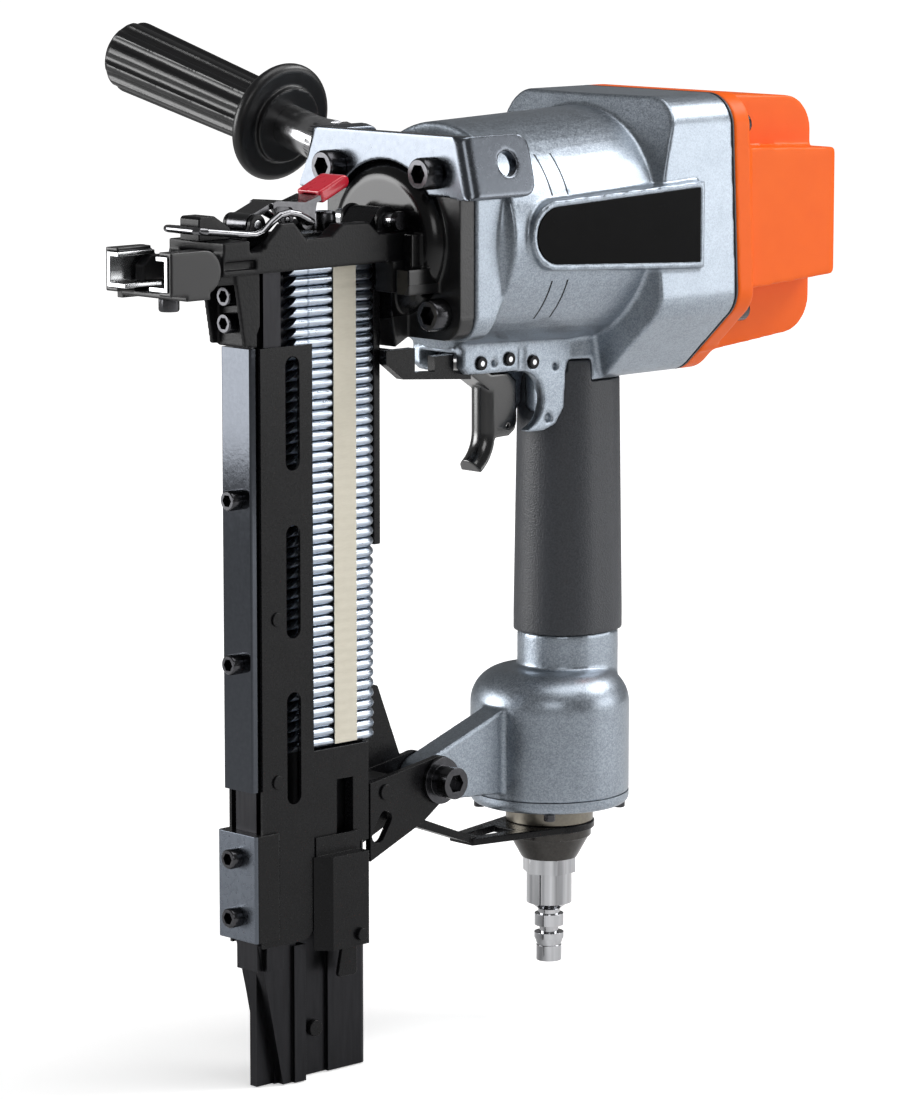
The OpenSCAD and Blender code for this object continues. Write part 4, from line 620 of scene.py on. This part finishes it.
# %% Castings
# Each row gives the voxel size in millimetres and the rounds of smoothing.
CASTINGS = {
    "main_housing": (0.7, 10),
    "rear_cap": (0.7, 12),
    "nose_base": (0.5, 6),
    "nose_frame": (0.45, 4),
    "hand_grip": (0.6, 5),
    "side_grip": (0.5, 5),
    "trigger": (0.4, 6),
    "jaw_covers": (0.35, 9),
    "lever_grip": (0.35, 40),
    "latch_bail": (0.25, 5),
    "handle_bracket": (0.5, 14),
}
DOME_R = 31.2 * MM
CAST_FINISH = {"trigger": FINISH["trigger_gloss"], "latch_bail": FINISH["bail_wire"],
               "nose_base": polished_dome(DOME_R)}
ROOM = 2 * MM
VALVE_REACH = 8 * MM
LINK_REACH = 12 * MM
LINK_HEIGHT = 15 * MM
valve_low, valve_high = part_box("head_valve")
link_low, link_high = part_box("safety_link")
STILL = {
    "rear_cap": (valve_low - Vector((ROOM, ROOM, ROOM)), valve_high + Vector((VALVE_REACH, ROOM, ROOM))),
    "main_housing": (Vector((link_high.x - LINK_REACH, link_low.y - ROOM, link_low.z)),
                     Vector((link_high.x + LINK_REACH, ROOM - link_low.y, link_low.z + LINK_HEIGHT))),
}
BENDS = {"handle_bracket": 5}
for name, (voxel, rounds) in CASTINGS.items():
    piece = cast(name, voxel, rounds, CAST_FINISH.get(name), STILL.get(name), BENDS.get(name))
    print(name, "faces:", len(piece.data.polygons))

# %% [markdown]
# ## Plates and turned pieces
# Pressed plates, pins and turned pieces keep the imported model's shape and get a narrow rounded edge, which
# catches the light as the real edge does.

# %% Plates
# Each row gives the width of the edge in millimetres.
EDGES = {
    "badges": 0.25, "cap_gasket": 0.2, "end_cap": 0.5, "inlet_bush": 0.5, "stay_plate": 0.5,
    "cone_nut": 0.6, "air_plug": 0.35, "side_neck": 0.5,
    "nose_catch": 0.5, "nose_door": 0.4, "lever_pin": 0.2, "latch_lever": 0.35, "jaw_plates": 0.3,
    "safety_link": 0.6, "magazine_rail": 0.5, "left_plate": 0.4, "right_plate": 0.4, "clamp_bracket": 1.0,
    "rear_guide": 0.4, "pusher_slider": 0.8, "spring_box": 0.6, "spring_roll": 0.2, "release_tab": 0.5,
    "arm_left": 0.5, "arm_right": 0.5, "arm_bolt": 0.4, "front_bar": 0.5,
}
STEEL_FRONT_DEPTH = 1 * MM
FINISH_OF = {"clamp_bracket": bare_front(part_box("clamp_bracket")[0].x + STEEL_FRONT_DEPTH),
             "latch_lever": FINISH["lever_steel"], "front_bar": FINISH["front_chrome"]}
for name, edge in EDGES.items():
    dress(name, edge, FINISH_OF.get(name))
print("plates:", len(EDGES))

# %% [markdown]
# ## Inner pieces
# Sleeve, piston and valves are closed in by the housing. They keep the imported shapes and get their finish.
# The two springs stand between a moving piece and a fixed one. They stay where they stand and join neither
# body.

# %% Inner pieces
INNER = ["cylinder_sleeve", "bumper", "piston", "piston_ring", "driver_blade", "head_valve", "valve_body",
         "valve_stem"]
for name in INNER:
    mesh = NODES[name].data
    mesh.materials.clear()
    mesh.materials.append(FINISH[SLOT_OF[name]])
coil_low, coil_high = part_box("valve_spring")
ribbon_low, ribbon_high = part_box("spring_ribbon")
settle(merged("valve_spring"), "valve_spring",
       spans=("head_valve", "housing", (coil_low.x, 0, 0), (coil_high.x, 0, 0)))
settle(merged("spring_ribbon"), "spring_ribbon",
       spans=("housing", "pusher", (0, 0, ribbon_high.z), (0, 0, ribbon_low.z)))
print("inner pieces:", len(INNER) + 2)

# %% [markdown]
# ## Geometry that repeats
# The socket screws are one head and one shank, set on a point for each screw. The points come from the
# packed screws: each is a separate solid, and its box gives its place, its radius and its length. Geometry
# Nodes then sets the copies, and Realize Instances makes them real faces, so that the result is plain mesh.

# %% Geometry trees


class Growth(Tree):
    """A geometry tree with named inputs."""

    def __init__(self, name, inputs):
        super().__init__(bpy.data.node_groups.new(name, "GeometryNodeTree"))
        self.tree.interface.new_socket("Geometry", in_out="OUTPUT", socket_type="NodeSocketGeometry")
        for label, kind in inputs.items():
            self.tree.interface.new_socket(label, in_out="INPUT", socket_type="NodeSocket" + kind)
        self.inputs = self.tree.nodes.new("NodeGroupInput")

    def given(self, label):
        """One of the tree's inputs."""
        return Wire(self, self.inputs.outputs[label])

    def named(self, label):
        """A vector that is stored on the points."""
        return self.add("GeometryNodeInputNamedAttribute", {"data_type": "FLOAT_VECTOR"}, {0: label})

    def end(self, geometry):
        """Make the copies real, give them the finish, and hand them out."""
        real = self.add("GeometryNodeRealizeInstances", None, {0: geometry})
        done = self.add("GeometryNodeSetMaterial", None, {0: real, "Material": self.given("Finish")})
        self.add("NodeGroupOutput", None, {0: done})

    def grow(self, piece, values):
        """Run the tree on a piece and keep the result as plain mesh."""
        modifier = piece.modifiers.new(self.tree.name, "NODES")
        modifier.node_group = self.tree
        for item in self.tree.interface.items_tree:
            if item.in_out == "INPUT" and item.name in values:
                modifier[item.identifier] = values[item.name]
        apply_modifiers(piece)
        return piece


def mesh_object(name, points, edges=(), faces=()):
    """A new object from lists of points, edges and faces."""
    mesh = bpy.data.meshes.new(name)
    mesh.from_pydata(points, edges, faces)
    piece = bpy.data.objects.new(name, mesh)
    bpy.context.scene.collection.objects.link(piece)
    return piece


def solids(node):
    """The lowest and highest corner of each separate solid in a node, in the order of its mesh."""
    work = bmesh.new()
    work.from_mesh(NODES[node].data)
    bmesh.ops.remove_doubles(work, verts=work.verts, dist=MERGE_GAP)
    left = set(work.verts)
    boxes = []
    for first in work.verts:
        if first not in left:
            continue
        left.remove(first)
        group = [first]
        for vert in group:
            for edge in vert.link_edges:
                other = edge.other_vert(vert)
                if other in left:
                    left.remove(other)
                    group.append(other)
        corners = [[pick(vert.co[axis] for vert in group) for axis in range(3)] for pick in (min, max)]
        boxes.append([Vector(corner) for corner in corners])
    work.free()
    return boxes


# %% [markdown]
# ## Socket screws
# A socket screw has a round head with a fine knurl, a chamfered rim and a hexagon socket. The head is drawn
# once with radius and height 1: rings of points from the seat over the rim and down into the socket.

# %% One head and one shank
KNURLS = 24
KNURL_DEPTH = 0.015
RING = 2 * KNURLS
SOCKET = 0.6


def hexagon(turn):
    """Radius of a hexagon with corners at 1, at an angle."""
    sixth = math.pi / 3
    return math.cos(sixth / 2) / math.cos(turn % sixth - sixth / 2)


def lathe(name, rings):
    """A closed shape from rings of points, each with the same count."""
    points = [point for ring in rings for point in ring]
    faces = []
    for row in range(len(rings) - 1):
        for k in range(RING):
            here, there = row * RING + k, row * RING + (k + 1) % RING
            faces.append((here, there, there + RING, here + RING))
    faces.append(tuple(reversed(range(RING))))
    faces.append(tuple(range(len(points) - RING, len(points))))
    return mesh_object(name, points, faces=faces)


def ring(height, radius_at):
    """One ring of points at a height, its radius a function of the angle."""
    turns = [2 * math.pi * k / RING for k in range(RING)]
    return [(radius_at(a) * math.cos(a), radius_at(a) * math.sin(a), height) for a in turns]


def knurl(radius):
    """A radius with a shallow groove between the knurls."""
    return lambda turn: radius * (1 - KNURL_DEPTH + KNURL_DEPTH * math.cos(KNURLS * turn))


SCREW_HEAD = lathe("screw_head", [
    ring(0, lambda a: 0.95), ring(0.04, knurl(1.0)), ring(0.84, knurl(1.0)), ring(0.95, lambda a: 0.93),
    ring(1.0, lambda a: 0.86), ring(1.0, lambda a: SOCKET * 1.06 * hexagon(a)),
    ring(0.95, lambda a: SOCKET * hexagon(a)), ring(0.42, lambda a: SOCKET * hexagon(a)),
    ring(0.36, lambda a: 0.1)])
SCREW_SHANK = lathe("screw_shank", [
    ring(-1, lambda a: 0.8), ring(-0.97, lambda a: 1.0), ring(0.01, lambda a: 1.0)])

# %% A tree that sets screws on points
screws = Growth("set_screws", {
    "Geometry": "Geometry", "Head": "Object", "Shank": "Object", "Finish": "Material"})


def set_copies(tree, source, scale):
    """Copies of an object on the points, turned and scaled by what the points store."""
    shape = tree.add("GeometryNodeObjectInfo", None, {0: tree.given(source)}, "Geometry")
    turn = tree.add("FunctionNodeEulerToRotation", None, {0: tree.named("turn")})
    return tree.add("GeometryNodeInstanceOnPoints", None,
                    {"Points": tree.given("Geometry"), "Instance": shape, "Rotation": turn,
                     "Scale": tree.named(scale)})


both = screws.tree.nodes.new("GeometryNodeJoinGeometry")
for source, scale in (("Head", "head"), ("Shank", "shank")):
    screws.tree.links.new(set_copies(screws, source, scale).socket, both.inputs[0])
screws.end(Wire(screws, both.outputs[0]))

# %% Screws in their places
# Heads and shanks in shares of the head's radius. The door's clamp screw has a taller head.
HEAD_OF_RADIUS = 1 / 0.81
SHANK_OF_RADIUS = 0.5 / 0.81
DOOR_HEAD_OF_RADIUS = 7.2 / 4.6
HINGE_HEAD_Y = -16 * MM


def set_screws(node, axis, head=HEAD_OF_RADIUS):
    """Screws in the place of a node's solids, with their heads towards an axis."""
    towards = Vector(axis)
    along = max(range(3), key=lambda k: abs(axis[k]))
    across = (along + 1) % 3
    seats, heads, shanks = [], [], []
    for low, high in solids(node):
        radius = (high[across] - low[across]) / 2
        seat = (low + high) / 2
        tip = high[along] if axis[along] > 0 else low[along]
        seat[along] = tip - axis[along] * head * radius
        length = (high - low)[along] - head * radius
        seats.append(seat)
        heads.append((radius, radius, head * radius))
        shanks.append((SHANK_OF_RADIUS * radius, SHANK_OF_RADIUS * radius, length))
    piece = mesh_object(node + "_set", seats)
    turns = [tuple(towards.to_track_quat("Z", "Y").to_euler())] * len(seats)
    for label, values in (("turn", turns), ("head", heads), ("shank", shanks)):
        stored = piece.data.attributes.new(label, "FLOAT_VECTOR", "POINT")
        stored.data.foreach_set("vector", [number for value in values for number in value])
    screws.grow(piece, {"Head": SCREW_HEAD, "Shank": SCREW_SHANK, "Finish": FINISH[SLOT_OF[node]]})
    return settle(piece, node)


SCREW_AXES = {
    "cap_bolts": (1, 0, 0), "nose_bolts": (-1, 0, 0), "bracket_bolts": (-1, 0, 0),
    "front_screws": (-1, 0, 0), "end_cap_screws": (0, 0, -1), "jaw_screws": (0, 0, -1),
}
for name, axis in SCREW_AXES.items():
    print(name, "faces:", len(set_screws(name, axis).data.polygons))
set_screws("door_screw", (0, 0, 1), DOOR_HEAD_OF_RADIUS)

# %% Rivets and pins
dress("plate_rivets", 0.3, FINISH["black_sheet"])
dress("trigger_pins", 0.4, pin_heads([(low + high) / 2 for low, high in solids("trigger_pins")]))
dress("hinge_pin", 0.4, black_headed(HINGE_HEAD_Y))

# %% [markdown]
# ## Staples
# A stick's staples stand side by side, held together by paper tapes. One staple is a round wire along a U,
# with its ends cut on a slant: near legs end in a low point, far legs in a high one, so that the legs part
# in the wood. The tree sweeps the wire, cuts the ends by moving only their last ring, and sets the copies
# on a line. A tape is a strip that dips a little between one staple and the next.

# %% One staple path and the stick
STAPLE_COUNT = 48
STAPLE_PITCH = 4.1 * MM
WIRE_R = 2.0 * MM
WIRE_SIDES = 12
LEG_HALF = 6.0 * MM
BEND_STEPS = 12
CUT_LENGTH = 6.0 * MM
stick_low, stick_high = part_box("staple_stick")
bend_x = stick_high.x - WIRE_R - LEG_HALF
bend = [(bend_x + LEG_HALF * math.sin(math.pi * k / BEND_STEPS),
         -LEG_HALF * math.cos(math.pi * k / BEND_STEPS), 0) for k in range(BEND_STEPS + 1)]
path = [(stick_low.x, -LEG_HALF, 0), *bend, (stick_low.x, LEG_HALF, 0)]
STAPLE_PATH = mesh_object("staple_path", path, [(k, k + 1) for k in range(len(path) - 1)])

stick = Growth("staple_stick", {
    "Path": "Object", "Count": "Int", "Pitch": "Float", "Wire": "Float", "Points": "Float", "Cut": "Float",
    "Top": "Vector", "Finish": "Material"})
line = stick.add("GeometryNodeObjectInfo", None, {0: stick.given("Path")}, "Geometry")
curve = stick.add("GeometryNodeMeshToCurve", None, {0: line})
section = stick.add("GeometryNodeCurvePrimitiveCircle", None,
                    {"Resolution": WIRE_SIDES, "Radius": stick.given("Wire")})
wire = stick.add("GeometryNodeCurveToMesh", None,
                 {"Curve": curve, "Profile Curve": section, "Fill Caps": True})
where = stick.add("GeometryNodeInputPosition")
place_x, place_y, place_z = (stick.add("ShaderNodeSeparateXYZ", None, {0: where}, label) for label in "XYZ")
slope = 0.5 + (0.5 - (place_y > 0)) * place_z / stick.given("Wire")
shift = stick.add("ShaderNodeCombineXYZ", None, {"X": slope * stick.given("Cut")})
chisel = stick.add("GeometryNodeSetPosition", None,
                   {"Geometry": wire, "Selection": place_x < stick.given("Points") + WIRE_R / 2,
                    "Offset": shift})
step = stick.add("ShaderNodeCombineXYZ", None, {"Z": 0 - stick.given("Pitch")})
spots = stick.add("GeometryNodeMeshLine", None,
                  {"Count": stick.given("Count"), "Start Location": stick.given("Top"), "Offset": step})
stick.end(stick.add("GeometryNodeInstanceOnPoints", None, {"Points": spots, "Instance": chisel}))
staples = stick.grow(mesh_object("staples", [(0, 0, 0)]), {
    "Path": STAPLE_PATH, "Count": STAPLE_COUNT, "Pitch": STAPLE_PITCH, "Wire": WIRE_R,
    "Points": stick_low.x, "Cut": CUT_LENGTH, "Top": (0, 0, stick_high.z - WIRE_R),
    "Finish": FINISH["zinc_wire"]})
settle(staples, "staple_stick")
print("staple faces:", len(staples.data.polygons))

# %% Paper tapes
TAPE_ROWS = 8
TAPE_COLUMNS = 6
TAPE_WAVE = 0.12 * MM
TAPE_THICKNESS = 0.2 * MM


def tape_strip(low, high, side):
    """The outer face of a strip of paper that follows the staples under it."""
    rows = int((high.z - low.z) / STAPLE_PITCH * TAPE_ROWS)
    outer = []
    for row in range(rows + 1):
        z = low.z + (high.z - low.z) * row / rows
        turn = 2 * math.pi * (stick_high.z - WIRE_R - z) / STAPLE_PITCH
        wave = TAPE_WAVE * (0.5 - 0.5 * math.cos(turn))
        depth = (high.y if side > 0 else low.y) - side * wave
        for column in range(TAPE_COLUMNS + 1):
            outer.append((low.x + (high.x - low.x) * column / TAPE_COLUMNS, depth, z))
    width = TAPE_COLUMNS + 1
    faces = []
    for row in range(rows):
        for column in range(TAPE_COLUMNS):
            k = row * width + column
            quad = (k, k + 1, k + width + 1, k + width)
            faces.append(quad if side < 0 else tuple(reversed(quad)))
    return outer, faces


points, faces = [], []
for low, high in solids("staple_tapes"):
    strip, quads = tape_strip(low, high, 1 if low.y > 0 else -1)
    faces.extend(tuple(k + len(points) for k in quad) for quad in quads)
    points.extend(strip)
tapes = mesh_object("paper_tapes", points, faces=faces)
modify(tapes, "SOLIDIFY", thickness=TAPE_THICKNESS, offset=-1)
settle(tapes, "staple_tapes")

# %% Remove what was only copied
for helper in (SCREW_HEAD, SCREW_SHANK, STAPLE_PATH):
    bpy.data.objects.remove(helper)

# %% [markdown]
# ## Stage and light
# A catalogue picture has a white floor that runs out of sight and large soft lights: one above, a band
# behind the right shoulder, weaker ones on the right and in front, and a panel on the far left that the
# polished front faces mirror. The floor and the sky shine for the camera, and less for reflections, so that
# they look white without more light on the tool. Near the tool the floor shines less and keeps the shadow.

# %% Floor and sky
FLOOR_HALF = 30.0
FLOOR_DROP = 0.5 * MM
FLOOR_NEAR = 0.42
FLOOR_RISE = 0.6
SKY_SEEN = 0.9
SKY_LIGHT = 0.1
MIRRORED = 0.06


def glow(tree, seen, mirrored):
    """Strengths for rays from the camera or through glass, and for mirrored rays."""
    camera, glass, mirror = (tree.add("ShaderNodeLightPath", None, None, label)
                             for label in ("Is Camera Ray", "Is Transmission Ray", "Is Glossy Ray"))
    return (camera + glass) * seen + mirror * mirrored


def make_floor():
    """A wide white floor just under the tool, which shines more the farther it is."""
    half = FLOOR_HALF
    floor = mesh_object("floor", [(-half, -half, 0), (half, -half, 0), (half, half, 0), (-half, half, 0)],
                        faces=[(0, 1, 2, 3)])
    floor.data.transform(Matrix.Translation((0, 0, CAD_BOX[0].z - FLOOR_DROP)))
    finish = Finish("floor", {"Base Color": (0.8, 0.8, 0.8, 1), "Roughness": 0.9,
                              "Emission Color": (1, 1, 1, 1)})
    reach = finish.add("ShaderNodeVectorMath", {"operation": "LENGTH"}, {0: finish.place}, "Value")
    far = reach.maths("MINIMUM", reach * FLOOR_RISE, 1.0)
    finish.feed("Emission Strength", glow(finish, FLOOR_NEAR + far * (1 - FLOOR_NEAR), MIRRORED))
    floor.data.materials.append(finish.material)
    floor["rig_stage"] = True


def make_world():
    """A white sky that the camera sees and that lights the tool only a little."""
    world = bpy.data.worlds.new("studio")
    bpy.context.scene.world = world
    world.use_nodes = True
    tree = Tree(world.node_tree)
    background = world.node_tree.nodes["Background"]
    strength = SKY_LIGHT + glow(tree, SKY_SEEN, MIRRORED)
    tree.tree.links.new(strength.socket, background.inputs["Strength"])
    background.inputs["Color"].default_value = (1, 1, 1, 1)


make_floor()
make_world()
bpy.context.scene.view_settings.view_transform = "Standard"

# %% Lights
CENTRE = (CAD_BOX[0] + CAD_BOX[1]) / 2


def softbox(name, place, aim, size, power, spread=180):
    """A rectangular lamp at a place, turned to an aim, in metres, watts and degrees."""
    lamp = bpy.data.lights.new(name, "AREA")
    lamp.shape = "RECTANGLE"
    lamp.size, lamp.size_y = size
    lamp.energy = power
    lamp.spread = math.radians(spread)
    holder = bpy.data.objects.new(name, lamp)
    holder.location = place
    holder.rotation_euler = (Vector(aim) - Vector(place)).to_track_quat("-Z", "Y").to_euler()
    bpy.context.scene.collection.objects.link(holder)


softbox("top_light", (0.2, -0.5, 1.7), CENTRE, (1.6, 1.2), 18)
softbox("band_light", (1.25, -0.65, 1.2), CENTRE, (1.2, 0.55), 20)
softbox("right_light", (1.0, -1.0, 0.22), CENTRE, (0.9, 0.6), 6)
softbox("left_panel", (-1.35, 1.3, 0.26), CENTRE, (1.3, 1.0), 4.6, 60)
softbox("front_light", (-1.6, -1.9, 0.9), CENTRE, (1.0, 0.8), 8)

# %% Sizes and the end
boxes = {"cad": [list(corner) for corner in CAD_BOX], "visual": [list(corner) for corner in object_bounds()]}
visual_low, visual_high = (Vector(corner) for corner in boxes["visual"])
print("visual size in mm:", [round(side / MM, 1) for side in visual_high - visual_low])
